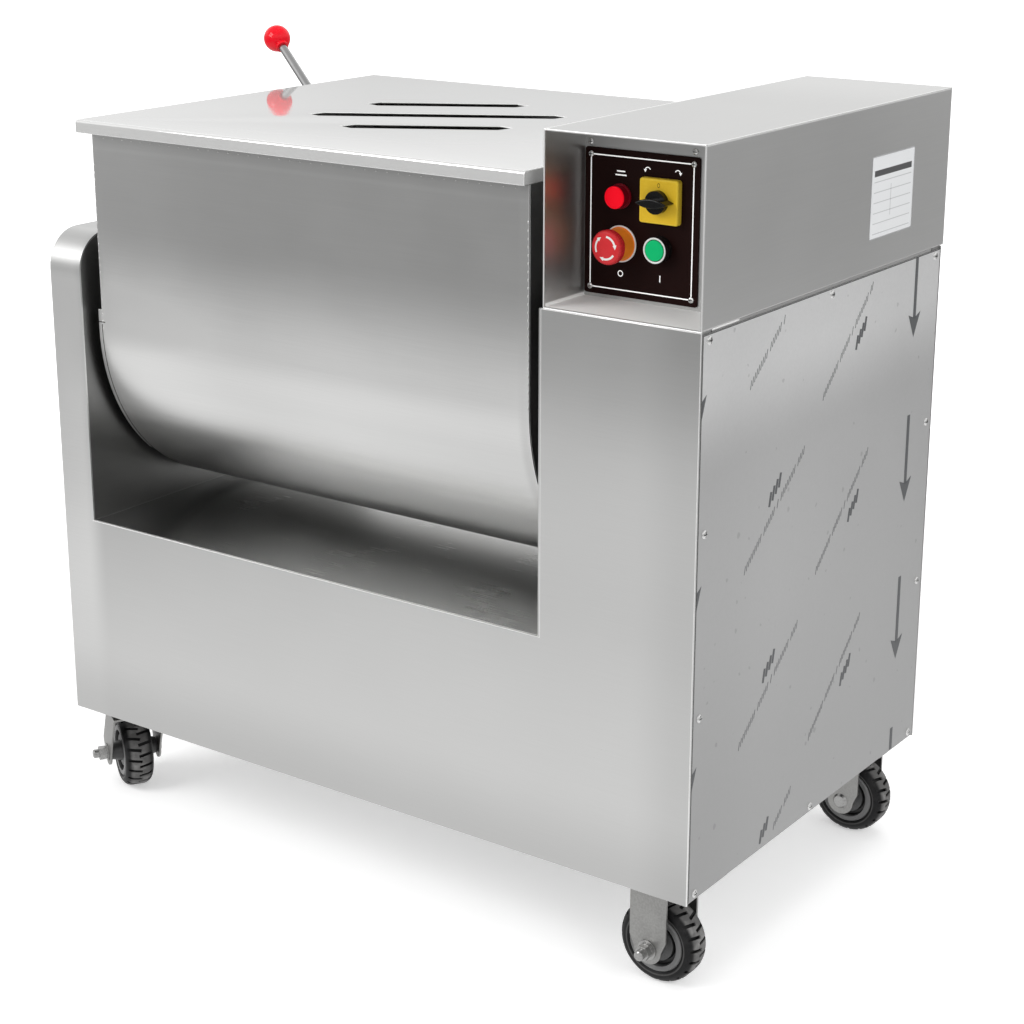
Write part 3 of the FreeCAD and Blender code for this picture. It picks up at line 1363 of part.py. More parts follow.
def paddle():
    """Paddle about the X axis, pointing up: clamp ring, round arm and pitched blade.

    The blade's outer edge is cut to the circle that the paddle sweeps."""
    ring = Part.makeCylinder(hub_outer, hub_long, Vector(-hub_long / 2, 0, 0), AXIS_X)
    arm_end = paddle_reach - blade_depth * 0.35
    arm = Part.makeCylinder(arm_radius, arm_end - core, Vector(0, 0, core))
    low = paddle_reach - blade_depth
    half = blade_width / 2
    profile = Part.Face(Part.makePolygon([
        Vector(-half * 0.62, 0, low), Vector(half * 0.62, 0, low), Vector(half, 0, low + blade_depth * 0.45),
        Vector(half, 0, paddle_reach + 20), Vector(-half, 0, paddle_reach + 20),
        Vector(-half, 0, low + blade_depth * 0.45), Vector(-half * 0.62, 0, low)]))
    blade_shape = profile.extrude(Vector(0, blade_thick, 0))
    blade_shape.translate(Vector(0, arm_radius - 2, 0))
    blade_shape = spun(blade_shape, ORIGIN, AXIS_Z, val("dims.paddle_pitch_angle"))
    sweep = Part.makeCylinder(paddle_reach, 400, Vector(-200, 0, 0), AXIS_X)
    shape = ring.fuse(arm).fuse(blade_shape.common(sweep))
    clear = Part.makeCylinder(core + val("dims.run_play"), 400, Vector(-200, 0, 0), AXIS_X)
    return shape.cut(clear).removeSplitter()


paddle_shape = paddle()
count = int(val("dims.paddle_count"))
first_x = val(f"at.tank_left + {core_start}")
last_x = val(f"at.tank_left + {core_end}")
pitch = (last_x - first_x) / count
paddles = []
for index in range(count):
    copy = spun(paddle_shape, ORIGIN, AXIS_X, 30 + index * val("dims.paddle_step_angle"))
    paddles.append(moved(copy, first_x + pitch * (index + 0.5), axis_y, axis_z))
group("mixing_paddles", paddles)

# Castors: two fixed ones on the right, two swivelling ones on the left

half_gap = val("at.fork_gap")
fork_wall = val("dims.fork_wall")
fork_width = val("dims.fork_width")
fork_end = val("dims.fork_end")
axle_z = val("at.axle_z")
plate_top = val("at.base_z")
plate_thick = val("dims.castor_plate")
plate_long = val("dims.castor_plate_long")
plate_wide = val("dims.castor_plate_wide")
axle_radius = val("dims.axle_radius")
run_play = val("dims.run_play")


def fork_leg(top_z, top_shift):
    """Leg of a fork in the XZ plane: wide at the top, round at the axle, with the axle's hole."""
    half = fork_width / 2
    left = Vector(top_shift - half, 0, top_z)
    right = Vector(top_shift + half, 0, top_z)
    knee = axle_z + 14
    face = Part.Face(Part.Wire([
        Part.LineSegment(left, right).toShape(),
        Part.LineSegment(right, Vector(half, 0, knee)).toShape(),
        Part.LineSegment(Vector(half, 0, knee), Vector(fork_end, 0, axle_z)).toShape(),
        Part.Arc(Vector(fork_end, 0, axle_z), Vector(0, 0, axle_z - fork_end),
                 Vector(-fork_end, 0, axle_z)).toShape(),
        Part.LineSegment(Vector(-fork_end, 0, axle_z), Vector(-half, 0, knee)).toShape(),
        Part.LineSegment(Vector(-half, 0, knee), left).toShape(),
    ]))
    leg = face.extrude(Vector(0, fork_wall, 0))
    hole = Part.makeCylinder(axle_radius + run_play, fork_wall, Vector(0, 0, axle_z), AXIS_Y)
    return leg.cut(hole)


def fork(top_z, trail):
    """Fork with its web on top. The axle is at x = 0, the top is moved back by the trail."""
    near = moved(fork_leg(top_z, trail), 0, -half_gap - fork_wall, 0)
    far = moved(fork_leg(top_z, trail), 0, half_gap, 0)
    web = Part.makeBox(fork_width, 2 * (half_gap + fork_wall), fork_wall,
                       Vector(trail - fork_width / 2, -half_gap - fork_wall, top_z - fork_wall))
    return near.fuse(far).fuse(web).removeSplitter()


def axle():
    """Axle bolt along Y: a low head on one side, a washer, a nut and the thread's end on the other."""
    reach = half_gap + fork_wall
    out = val("dims.axle_reach")
    chamfer = 1.5
    thread_end = Vector(0, chamfer - reach - out, 0)
    rod = Part.makeCylinder(axle_radius, 2 * reach + out - chamfer, thread_end, AXIS_Y)
    tip = Part.makeCone(axle_radius, axle_radius - chamfer, chamfer, thread_end, Vector(0, -1, 0))
    hexagon = Part.makePolygon([Vector(9.5 * math.cos(math.radians(60 * i)), 0,
                                       9.5 * math.sin(math.radians(60 * i))) for i in range(7)])
    nut_shape = moved(Part.Face(hexagon).extrude(Vector(0, 8, 0)), 0, -reach - 12, 0)
    washer = Part.makeCylinder(12, 1.8, Vector(0, -reach - 1.8, 0), AXIS_Y)
    spring = Part.makeCylinder(9, 2.2, Vector(0, -reach - 4, 0), AXIS_Y)
    head = Part.makeCone(10, 7.5, 3, Vector(0, reach, 0), AXIS_Y)
    shape = rod
    for piece in (tip, nut_shape, washer, spring, head):
        shape = shape.fuse(piece)
    return moved(shape.removeSplitter(), 0, 0, axle_z)


def castor_hub():
    """Wheel centre: bearing boss, web with ringed steps, and the rim that holds the tyre."""
    half = val("dims.tread_width") / 2
    boss = val("dims.castor_hub_length") / 2
    rim = val("dims.core_wheel_radius")
    steps = [
        (axle_radius + run_play, boss), (11, boss), (14, half - 2), (rim - 13, half - 3), (rim - 12, half - 9),
        (rim - 8, half - 9), (rim - 7, half), (rim - 1.5, half), (rim, half - 2),
    ]
    points = [Vector(r, y, 0) for r, y in steps] + [Vector(r, -y, 0) for r, y in reversed(steps)]
    points.append(points[0])
    return Part.Face(Part.makePolygon(points)).revolve(ORIGIN, AXIS_Y, 360)


def castor_tyre():
    """Tyre with a rounded tread, cut by two staggered rows of grooves."""
    half = val("dims.tread_width") / 2
    rim = val("dims.core_wheel_radius")
    outer_radius = val("dims.wheel_radius")
    depth = val("dims.lug_depth")
    edge = outer_radius - 8
    face = Part.Face(Part.Wire([
        Part.LineSegment(Vector(rim, half - 2, 0), Vector(rim, -half + 2, 0)).toShape(),
        Part.LineSegment(Vector(rim, -half + 2, 0), Vector(rim + 3, -half, 0)).toShape(),
        Part.LineSegment(Vector(rim + 3, -half, 0), Vector(edge, -half, 0)).toShape(),
        Part.Arc(Vector(edge, -half, 0), Vector(outer_radius - 2, -half + 5, 0),
                 Vector(outer_radius, -half + 11, 0)).toShape(),
        Part.LineSegment(Vector(outer_radius, -half + 11, 0), Vector(outer_radius, half - 11, 0)).toShape(),
        Part.Arc(Vector(outer_radius, half - 11, 0), Vector(outer_radius - 2, half - 5, 0),
                 Vector(edge, half, 0)).toShape(),
        Part.LineSegment(Vector(edge, half, 0), Vector(rim + 3, half, 0)).toShape(),
        Part.LineSegment(Vector(rim + 3, half, 0), Vector(rim, half - 2, 0)).toShape(),
    ]))
    tyre = face.revolve(ORIGIN, AXIS_Y, 360)
    count_lugs = int(val("dims.lug_count"))
    width = val("dims.lug_gap")
    overlap = 2
    grooves = []
    for index in range(count_lugs):
        for side in (-1, 1):
            low_y = -overlap if side > 0 else -half - 1
            groove = Part.makeBox(width, half + overlap + 1, 20, Vector(-width / 2, low_y, outer_radius - depth))
            groove = spun(groove, Vector(0, 0, outer_radius), AXIS_Z, side * 12)
            turn = 360 * (index + (0.5 if side > 0 else 0)) / count_lugs
            grooves.append(spun(groove, ORIGIN, AXIS_Y, turn))
    return tyre.cut(Part.makeCompound(grooves))


hub_shape = castor_hub()
tyre_shape = castor_tyre()
axle_shape = axle()
fixed_fork = fork(plate_top - plate_thick, 0)
race_height = 7
kingpin_radius = 7
race_radius = val("dims.swivel_race")
swivel_fork = fork(plate_top - plate_thick - race_height, val("dims.swivel_trail"))
race_low = Vector(val("dims.swivel_trail"), 0, plate_top - plate_thick - race_height)
race = Part.makeCone(race_radius, race_radius - 4, race_height - 0.3, race_low)
race = race.fuse(Part.makeCylinder(race_radius, fork_wall, race_low - Vector(0, 0, fork_wall)))
kingpin_hole = Part.makeCylinder(kingpin_radius + run_play, race_height + 20, race_low - Vector(0, 0, 10))
swivel_fork = swivel_fork.fuse(race).cut(kingpin_hole).removeSplitter()


def placed(shape, x, y, angle):
    """Castor piece turned about the vertical and set on its wheel's place."""
    return moved(spun(shape, ORIGIN, AXIS_Z, angle), x, y, 0)


fixed_forks = []
fixed_axles = []
castor_bolts = []
swivel_plates = []
bolt_head = Part.makeCylinder(6.5, 5, Vector(0, 0, plate_top - plate_thick - 5))
bolt_shank = Part.makeCylinder(bolt_radius, plate_thick + val("dims.gusset"), Vector(0, 0, plate_top - plate_thick))
castor_bolt = bolt_head.fuse(bolt_shank).removeSplitter()

for (side, end), centre in CASTOR_CENTRES.items():
    x0, y0 = val(centre[0]), val(centre[1])
    mount = Part.makeBox(plate_long, plate_wide, plate_thick,
                         Vector(x0 - plate_long / 2, y0 - plate_wide / 2, plate_top - plate_thick))
    mount = bored_plate(mount, centre, plate_top - plate_thick - 1, plate_thick + 2)
    castor_bolts += [moved(castor_bolt, x, y, 0) for x, y in bolt_places(centre)]
    name = f"{end}_{side}"
    if side == "right":
        fixed_forks.append(placed(fixed_fork, x0, y0, 0).fuse(mount).removeSplitter())
        fixed_axles.append(placed(axle_shape, x0, y0, 0 if end == "front" else 180))
        wheel_x, wheel_y, angle = x0, y0, 0
    else:
        swing = val(f"dims.{end}_swivel_angle")
        trail = val("dims.swivel_trail")
        wheel_x = x0 + trail * math.cos(math.radians(swing))
        wheel_y = y0 + trail * math.sin(math.radians(swing))
        angle = swing + 180
        kingpin = Part.makeCylinder(kingpin_radius, plate_thick + race_height + 8,
                                    Vector(x0, y0, plate_top - plate_thick - race_height - 8))
        rivet = Part.makeCylinder(10, 4, Vector(x0, y0, plate_top - plate_thick - race_height - 7.5))
        swivel_plates.append(mount.fuse(kingpin).fuse(rivet).removeSplitter())
        group(f"{name}_fork", [placed(swivel_fork, wheel_x, wheel_y, angle)])
        group(f"{name}_axle", [placed(axle_shape, wheel_x, wheel_y, angle)])
    group(f"{name}_hub", [placed(moved(hub_shape, 0, 0, axle_z), wheel_x, wheel_y, angle)])
    group(f"{name}_tyre", [placed(moved(tyre_shape, 0, 0, axle_z), wheel_x, wheel_y, angle)])

group("fixed_forks", fixed_forks)
group("fixed_axles", fixed_axles)
group("swivel_plates", swivel_plates)
group("castor_bolts", castor_bolts)

# Checks, then one file for each node

doc.recompute()
for obj in doc.Objects:
    if "Invalid" in obj.State or "Error" in obj.State:
        raise RuntimeError(obj.Label + " failed: " + str(obj.State))
labels = [obj.Label for obj in NODES]
if len(set(labels)) != len(labels):
    raise RuntimeError("two nodes share a name")
for obj in NODES:
    if obj.Shape.isNull() or not obj.Shape.isValid() or not obj.Shape.Solids:
        raise RuntimeError(obj.Label + " has no valid solid")
for obj in NODES:
    obj.Shape.exportStep(f"parts/{obj.Label}.step")
print(len(NODES), "nodes")
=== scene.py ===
import json
import logging
import math
from dataclasses import dataclass
from enum import Enum

import bmesh
import bpy
from mathutils import Euler, Matrix, Vector


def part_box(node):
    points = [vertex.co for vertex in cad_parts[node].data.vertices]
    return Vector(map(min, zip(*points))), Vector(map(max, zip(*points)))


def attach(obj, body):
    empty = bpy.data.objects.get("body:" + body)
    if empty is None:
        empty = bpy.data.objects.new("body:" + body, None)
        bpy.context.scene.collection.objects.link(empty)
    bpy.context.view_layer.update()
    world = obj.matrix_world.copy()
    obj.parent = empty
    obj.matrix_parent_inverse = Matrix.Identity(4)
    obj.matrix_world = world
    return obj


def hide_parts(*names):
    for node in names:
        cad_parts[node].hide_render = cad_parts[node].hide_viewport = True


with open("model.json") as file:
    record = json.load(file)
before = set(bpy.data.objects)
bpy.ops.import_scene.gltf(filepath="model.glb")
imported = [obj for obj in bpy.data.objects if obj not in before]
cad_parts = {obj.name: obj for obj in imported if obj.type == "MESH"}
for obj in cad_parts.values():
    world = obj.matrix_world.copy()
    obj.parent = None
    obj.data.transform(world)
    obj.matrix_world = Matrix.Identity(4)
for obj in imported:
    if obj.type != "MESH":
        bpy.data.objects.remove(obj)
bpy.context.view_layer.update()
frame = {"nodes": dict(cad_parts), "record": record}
MM = 0.001
WHITE = (1.0, 1.0, 1.0)
TURN = 2.0 * math.pi

logging.basicConfig(level=logging.INFO, format="%(message)s")
log = logging.getLogger("meat_mixer")


def front_middle(node: str) -> Vector:
    """Middle of a node's box, on the plane of its front."""
    low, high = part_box(node)
    return Vector(((low.x + high.x) / 2, low.y, (low.z + high.z) / 2))


# Shader maths


class Wire:
    """Output of a shader node, with arithmetic that adds Math nodes."""

    def __init__(self, graph: "Graph", socket: bpy.types.NodeSocket) -> None:
        """Keep the graph and the socket."""
        self.graph = graph
        self.socket = socket

    def __add__(self, other: "Wire | float") -> "Wire":
        """Sum."""
        return self.graph.math("ADD", self, other)

    def __sub__(self, other: "Wire | float") -> "Wire":
        """Difference."""
        return self.graph.math("SUBTRACT", self, other)

    def __rsub__(self, other: float) -> "Wire":
        """Difference from a number."""
        return self.graph.math("SUBTRACT", other, self)

    def __mul__(self, other: "Wire | float") -> "Wire":
        """Product."""
        return self.graph.math("MULTIPLY", self, other)

    def __truediv__(self, other: "Wire | float") -> "Wire":
        """Quotient."""
        return self.graph.math("DIVIDE", self, other)

    __radd__ = __add__
    __rmul__ = __mul__

    def size(self) -> "Wire":
        """Absolute value."""
        return self.graph.math("ABSOLUTE", self)

    def ramp(self, low: float, high: float, first: float, last: float) -> "Wire":
        """Smooth change from a first to a last value between two inputs."""
        return self.graph.node("MapRange", {"Value": self, "From Min": low, "From Max": high, "To Min": first,
                                            "To Max": last}, interpolation_type="SMOOTHSTEP")["Result"]

    def step(self, low: float, high: float) -> "Wire":
        """Smooth rise from 0 to 1 between two inputs."""
        return self.ramp(low, high, 0.0, 1.0)

    def drop(self, low: float, high: float) -> "Wire":
        """Smooth fall from 1 to 0 between two inputs."""
        return 1.0 - self.step(low, high)

    def band(self, middle: float, half: float, soft: float) -> "Wire":
        """Mask that is 1 up to half a width from a middle, with a soft edge."""
        return (self - middle).size().drop(half, half + soft)


class NodeOutputs:
    """Outputs of one node, picked by name."""

    def __init__(self, graph: "Graph", node: bpy.types.Node) -> None:
        """Keep the graph and the node."""
        self.graph = graph
        self.node = node

    def __getitem__(self, name: "str | int") -> Wire:
        """Output of that name."""
        return Wire(self.graph, self.node.outputs[name])


class Graph:
    """Node tree of one material or world."""

    def __init__(self, tree: bpy.types.NodeTree) -> None:
        """Start from an empty tree."""
        self.tree = tree
        tree.nodes.clear()

    def node(self, kind: str, inputs: "dict | None" = None, **settings: object) -> NodeOutputs:
        """Add any shader node.

        Args:
            kind: Its type, without the word that all of them start with.
            inputs: Values or wires for its input sockets, by name or index.
            settings: Its settings.

        Returns:
            The node's outputs.
        """
        made = self.tree.nodes.new("ShaderNode" + kind)
        for name, value in settings.items():
            setattr(made, name, value)
        for name, value in (inputs or {}).items():
            socket = made.inputs[name]
            if isinstance(value, Wire):
                self.tree.links.new(value.socket, socket)
            elif isinstance(value, tuple) and socket.type == "RGBA":
                socket.default_value = (*value, 1.0)
            else:
                socket.default_value = value
        return NodeOutputs(self, made)

    def math(self, operation: str, *values: "Wire | float") -> Wire:
        """Math node on one or two values."""
        return self.node("Math", dict(enumerate(values)), operation=operation)[0]

    def vector(self, operation: str, *values: "Wire | tuple") -> NodeOutputs:
        """Vector Math node on one or two vectors."""
        return self.node("VectorMath", dict(enumerate(values)), operation=operation)

    def mix(self, factor: "Wire | float", low: "Wire | tuple", high: "Wire | tuple") -> Wire:
        """Blend of two colours."""
        return self.node("Mix", {0: factor, 6: low, 7: high}, data_type="RGBA")[2]

    def length(self, across: Wire, rise: Wire) -> Wire:
        """Length of the way that two lengths at right angles make."""
        return self.math("SQRT", across * across + rise * rise)

    def place(self, scale: tuple = WHITE, turn: tuple = (0.0, 0.0, 0.0)) -> Wire:
        """Object coordinates, scaled and turned."""
        return self.node("Mapping", {"Vector": self.node("TexCoord")["Object"], "Scale": scale,
                                     "Rotation": turn})["Vector"]

    def axes(self) -> "tuple[Wire, Wire, Wire]":
        """X, Y and Z of the object coordinates, in metres."""
        split = self.node("SeparateXYZ", {0: self.node("TexCoord")["Object"]})
        return split["X"], split["Y"], split["Z"]

    def noise(self, scale: float, detail: float = 2.0, stretch: tuple = WHITE) -> Wire:
        """Noise between 0 and 1, from its waves per metre, its octaves and its scale along each axis."""
        return self.node("TexNoise", {"Vector": self.place(stretch), "Scale": scale, "Detail": detail})["Fac"]

    def surface(self, grain: tuple, cloud: tuple, rough: tuple, bump: tuple) -> "tuple[Wire, Wire, dict]":
        """Fine grain and soft clouds, with the roughness and the normal that follow them.

        Args:
            grain: Scale, detail and any stretch of the grain.
            cloud: Scale and detail of the clouds.
            rough: Roughness, and how much the clouds and the grain change it.
            bump: Distance and strength of the grain's bump.

        Returns:
            Grain and clouds from -0.5 to 0.5, and the shader's varying inputs.
        """
        grains = self.noise(*grain) - 0.5
        clouds = self.noise(*cloud) - 0.5
        return grains, clouds, {"Roughness": rough[0] + clouds * rough[1] + grains * rough[2],
                                "Normal": self.bump(grains, *bump)}

    def grey(self, tone: Wire, tint: tuple = (1.0, 1.0, 0.99)) -> Wire:
        """Grey of a tone between 0 and 1, with a slight tint."""
        return self.mix(tone, (0.0, 0.0, 0.0), tint)

    def disc(self, centre: Vector) -> "tuple[Wire, Wire, Wire]":
        """Distance from an axis along Y, angle round it in turns, and depth behind its point."""
        x, y, z = self.axes()
        across, rise = x - centre.x, z - centre.z
        turn = self.math("ARCTAN2", rise, across) / TURN
        return self.length(across, rise), self.math("FRACT", turn + 1.0), y - centre.y

    def bump(self, height: Wire, distance: float, strength: float) -> Wire:
        """Normal that follows a height."""
        return self.node("Bump", {"Height": height, "Distance": distance, "Strength": strength})["Normal"]

    def principled(self, constants: dict, varying: dict) -> Wire:
        """Principled shader from its own sockets' values and from wires."""
        return self.node("BsdfPrincipled", {**constants, **varying})["BSDF"]

    def emitter(self, kind: str, strength: "Wire | float") -> Wire:
        """White Emission or Background shader."""
        return self.node(kind, {"Color": WHITE, "Strength": strength})[0]

    def by_ray(self, rest: Wire, camera: Wire, glossy: Wire) -> Wire:
        """Shader that depends on the ray: the camera's, a reflection's or any other."""
        path = self.node("LightPath")
        seen = self.node("MixShader", {0: path["Is Camera Ray"], 1: rest, 2: camera})[0]
        return self.node("MixShader", {0: path["Is Glossy Ray"], 1: seen, 2: glossy})[0]


def new_graph(name: str) -> "tuple[bpy.types.Material, Graph]":
    """Empty material and its graph."""
    material = bpy.data.materials.new(name)
    material.use_nodes = True
    return material, Graph(material.node_tree)


# Finishes


class Grain(Enum):
    """Direction in which a sheet is brushed."""

    ALONG_X = (0.012, 1.0, 1.0)
    ALONG_Y = (1.0, 0.012, 1.0)
    ALONG_Z = (1.0, 1.0, 0.012)


@dataclass(frozen=True)
class Fade:
    """Painted light and shade: slow change of a sheet's tone along one axis."""

    axis: int
    start: float
    end: float
    first: float
    last: float

    def factor(self, graph: Graph) -> Wire:
        """Factor on the tone."""
        return graph.axes()[self.axis].ramp(self.start, self.end, self.first, self.last)


@dataclass(frozen=True)
class Patch:
    """Painted light and shade, as a fade that holds only between two places along X."""

    fade: Fade
    left: float
    right: float
    soft: float = 0.02

    def factor(self, graph: Graph) -> Wire:
        """Factor on the tone."""
        x = graph.axes()[0]
        inside = x.step(self.left - self.soft, self.left) * x.drop(self.right, self.right + self.soft)
        return 1.0 + (self.fade.factor(graph) - 1.0) * inside


def faded(graph: Graph, tone: "Wire | float", painted_shading: "tuple[Fade | Patch, ...]") -> Wire:
    """Tone times the factor of every fade, which paints light and shade into it."""
    for fade in painted_shading:
        tone = tone * fade.factor(graph)
    return tone


@dataclass(frozen=True)
class Finish:
    """Finish that builds its own material."""

    name: str

    def paint(self, graph: Graph) -> "tuple[dict, dict]":
        """Work out what the Principled shader gets.

        Args:
            graph: Graph that the nodes go into.

        Returns:
            Values for the shader's own sockets, and wires for what changes over the surface.
        """
        raise NotImplementedError

    def build(self) -> bpy.types.Material:
        """Material of the finish."""
        material, graph = new_graph(self.name)
        graph.node("OutputMaterial", {"Surface": graph.principled(*self.paint(graph))})
        return material


@dataclass(frozen=True)
class BrushedSteel(Finish):
    """Stainless sheet with fine brushing, faint clouds and handling smears, with light and shade painted into its
    tone by its fades.
    """

    grain: Grain
    tone: float = 0.62
    roughness: float = 0.30
    painted_shading: tuple = ()
    pocket: str = ""
    metal: float = 1.0
    streak: float = 0.06
    cloud: float = 0.06
    floor_high: float = 3.0 * MM

    def hollow(self, graph: Graph) -> Wire:
        """Mask of a recess's floor, in front of the plate that closes it."""
        low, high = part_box(self.pocket)
        x, y, z = graph.axes()
        beside = x.band((low.x + high.x) / 2, (high.x - low.x) / 2 + 0.0008, 0.0008)
        on_floor = z.band(low.z, self.floor_high, 0.0010)
        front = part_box("control_box")[0].y
        return beside * on_floor * y.step(front + 0.0010, front + 0.0030) * y.drop(high.y, high.y + 0.002)

    def paint(self, graph: Graph) -> "tuple[dict, dict]":
        """Brushed steel, matt on the floor of a recess, where a paler tone is painted as the light that falls there.
        """
        fine, _, varying = graph.surface((900.0, 3.0, self.grain.value), (11.0, 3.0),
                                         (self.roughness, 0.07, 0.05), (0.00003, 0.25))
        clouds = graph.noise(3.2) - 0.5
        tone = faded(graph, 1.0 + fine * self.streak + clouds * self.cloud, self.painted_shading)
        level = self.tone
        if self.pocket:
            matt = self.hollow(graph)
            # Painted light: the recess floor's tone is raised as if lamp light fell on it; its higher roughness and
            # lower metal are its own.
            level = self.tone + matt * 0.26
            varying.update({"Roughness": varying["Roughness"] + matt * 0.3, "Metallic": 1.0 - matt * 0.85})
        return {"Metallic": self.metal}, {**varying, "Base Color": graph.grey(tone * level)}


@dataclass(frozen=True)
class TankSteel(Finish):
    """Rolled tank sheet, brushed along its length, with heat marks by its end welds, a painted reflection line below
    its rim, and light and shade painted into its tone by its fades.
    """

    tone: float = 0.56
    painted_shading: tuple = ()
    heat_inset: float = 6.0 * MM
    reflection_line_drop: float = 34.0 * MM

    def paint(self, graph: Graph) -> "tuple[dict, dict]":
        """Brushed steel with darker heat bands at its ends and a paler line below its rim, which is a painted
        reflection.
        """
        low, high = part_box("tank_shell")
        x, _, z = graph.axes()
        heat = (x.band(low.x + self.heat_inset, 0.001, 0.010) + x.band(high.x - self.heat_inset, 0.001, 0.010))
        # Painted reflection: a faint paler line below the rim.
        reflection_line = z.band(high.z - self.reflection_line_drop, 0.0005, 0.004)
        fine, _, varying = graph.surface((900.0, 3.0, Grain.ALONG_X.value), (16.0, 3.0),
                                         (0.33, 0.05, 0.04), (0.00001, 0.1))
        clouds = graph.noise(2.6) - 0.5
        tone = faded(graph, 1.0 + fine * 0.07 + clouds * 0.10 - heat * 0.10 + reflection_line * 0.05, self.painted_shading)
        return {"Metallic": 1.0}, {**varying, "Base Color": graph.grey(tone * self.tone),
                                   "Roughness": varying["Roughness"] + heat * 0.06}


@dataclass(frozen=True)
class FilmedSheet(Finish):
    """Steel panel under its grey protective film, with faint creases and dust, and light and shade painted into its
    tone.
    """

    seam: float = 1.1 * MM

    def paint(self, graph: Graph) -> "tuple[dict, dict]":
        """Satin grey with folds, specks and a dark seam along the front and top edges; painted paler at the top and
        darker low down and towards the front, as painted light and shade.
        """
        low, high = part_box("side_panel")
        clouds = graph.noise(4.0, 3.0) - 0.5
        specks = graph.noise(260.0) - 0.5
        creases = graph.node("TexNoise", {"Vector": graph.place((1.0, 1.0, 0.55), (0.35, 0.0, 0.0)), "Scale": 5.0,
                                          "Detail": 2.0}, noise_type="RIDGED_MULTIFRACTAL")["Fac"]
        fold = creases.step(1.2, 1.7)
        dots = graph.noise(90.0, 0.0).step(0.80, 0.84)
        _, y, z = graph.axes()
        seam = graph.math("MAXIMUM", y.band(low.y, self.seam, 0.0004), z.band(high.z, self.seam, 0.0004))
        # Painted light and shade: paler at the top, darker low down and towards the front.
        tone = faded(graph, 0.56 + clouds * 0.07 + fold * 0.03 + specks * 0.04 - dots * 0.10, (
            Fade(2, low.z, high.z - 0.05, 0.69, 1.06), Fade(2, high.z - 0.16, high.z - 0.04, 1.0, 1.46),
            Fade(1, -0.28, -0.10, 0.93, 1.0)))
        return ({"Metallic": 0.75, "Coat Roughness": 0.25, "Coat IOR": 1.45},
                {"Base Color": graph.grey(tone * (1.0 - seam * 0.85), WHITE),
                 "Roughness": 0.44 + clouds * 0.08 + specks * 0.05, "Coat Weight": 0.12 + fold * 0.2,
                 "Normal": graph.bump(fold + clouds * 0.6, 0.0004, 0.25)})


@dataclass(frozen=True)
class PlainSteel(Finish):
    """Turned, zinc-plated or rolled steel of the smaller pieces."""

    tone: float = 0.6
    roughness: float = 0.3
    warmth: float = 0.0
    mottle: float = 0.12

    def paint(self, graph: Graph) -> "tuple[dict, dict]":
        """Mottled steel."""
        grains, clouds, varying = graph.surface((420.0, 3.0), (24.0, 3.0), (self.roughness, 0.16, 0.08),
                                                (0.00008, 0.4))
        low = self.tone * (1.0 - self.mottle)
        high = min(self.tone * (1.0 + self.mottle), 1.0)
        tint = 1.0 - self.warmth
        colour = graph.mix(grains * 0.8 + clouds * 0.9 + 0.5, (low, low * (0.5 + tint / 2), low * tint),
                           (high, high, high * tint))
        return {"Metallic": 1.0}, {**varying, "Base Color": colour}


@dataclass(frozen=True)
class Moulded(Finish):
    """Moulded plastic, painted casting or rubber, with a fine surface and slight wear."""

    colour: tuple
    roughness: float = 0.3
    texture: float = 500.0
    depth: float = 0.00004
    variation: float = 0.12
    coat: float = 0.0
    metallic: float = 0.0
    specular: float = 0.5
    # Emission strength; on a part that is no lamp it is painted light.
    glow: float = 0.0

    def paint(self, graph: Graph) -> "tuple[dict, dict]":
        """Slightly uneven colour."""
        grains, clouds, varying = graph.surface((self.texture, 3.0), (35.0, 3.0), (self.roughness, 0.12, 0.05),
                                                (self.depth, 0.5))
        low = tuple(channel * (1.0 - self.variation) for channel in self.colour)
        high = tuple(min(channel * (1.0 + self.variation) + 0.004, 1.0) for channel in self.colour)
        colour = graph.mix(grains * 0.6 + clouds * 0.8 + 0.5, low, high)
        return ({"Metallic": self.metallic, "Coat Weight": self.coat, "Coat Roughness": 0.08,
                 "Specular IOR Level": self.specular, "Emission Strength": self.glow},
                {**varying, "Base Color": colour, "Emission Color": colour})


@dataclass(frozen=True)
class WheelFinish(Finish):
    """Finish that changes with the distance from a wheel's axle."""

    centre: tuple
    axis: tuple

    def distances(self, graph: Graph) -> "tuple[Wire, Wire]":
        """Distance from the axle's line and distance along it from the wheel's middle."""
        away = graph.vector("SUBTRACT", graph.node("TexCoord")["Object"], self.centre)[0]
        along = graph.vector("DOT_PRODUCT", away, self.axis)["Value"]
        full = graph.vector("LENGTH", away)["Value"]
        return graph.math("SQRT", full * full - along * along), along.size()


@dataclass(frozen=True)
class TyreRubber(WheelFinish):
    """Black tyre whose lug tops are worn grey."""

    tread: tuple = (47.2 * MM, 49.2 * MM)
    tread_half: tuple = (9.0 * MM, 17.0 * MM)
    lip: float = 38.5 * MM

    def paint(self, graph: Graph) -> "tuple[dict, dict]":
        """Dusty rubber with a paler lip."""
        radius, along = self.distances(graph)
        grains = graph.noise(650.0, 3.0) - 0.5
        dust = graph.noise(60.0, 4.0).step(0.42, 0.75)
        worn = radius.step(*self.tread) * along.drop(*self.tread_half) * (0.45 + dust * 0.55)
        shade = worn * 0.85 + dust * 0.06 + radius.band(self.lip, 0.0004, 0.0010) * 0.22 + grains * 0.06
        return {"Specular IOR Level": 0.22}, {
            "Base Color": graph.mix(shade, (0.006, 0.006, 0.0065), (0.30, 0.295, 0.29)),
            "Roughness": 0.50 + dust * 0.18 + grains * 0.1, "Normal": graph.bump(grains, 0.00012, 0.6)}


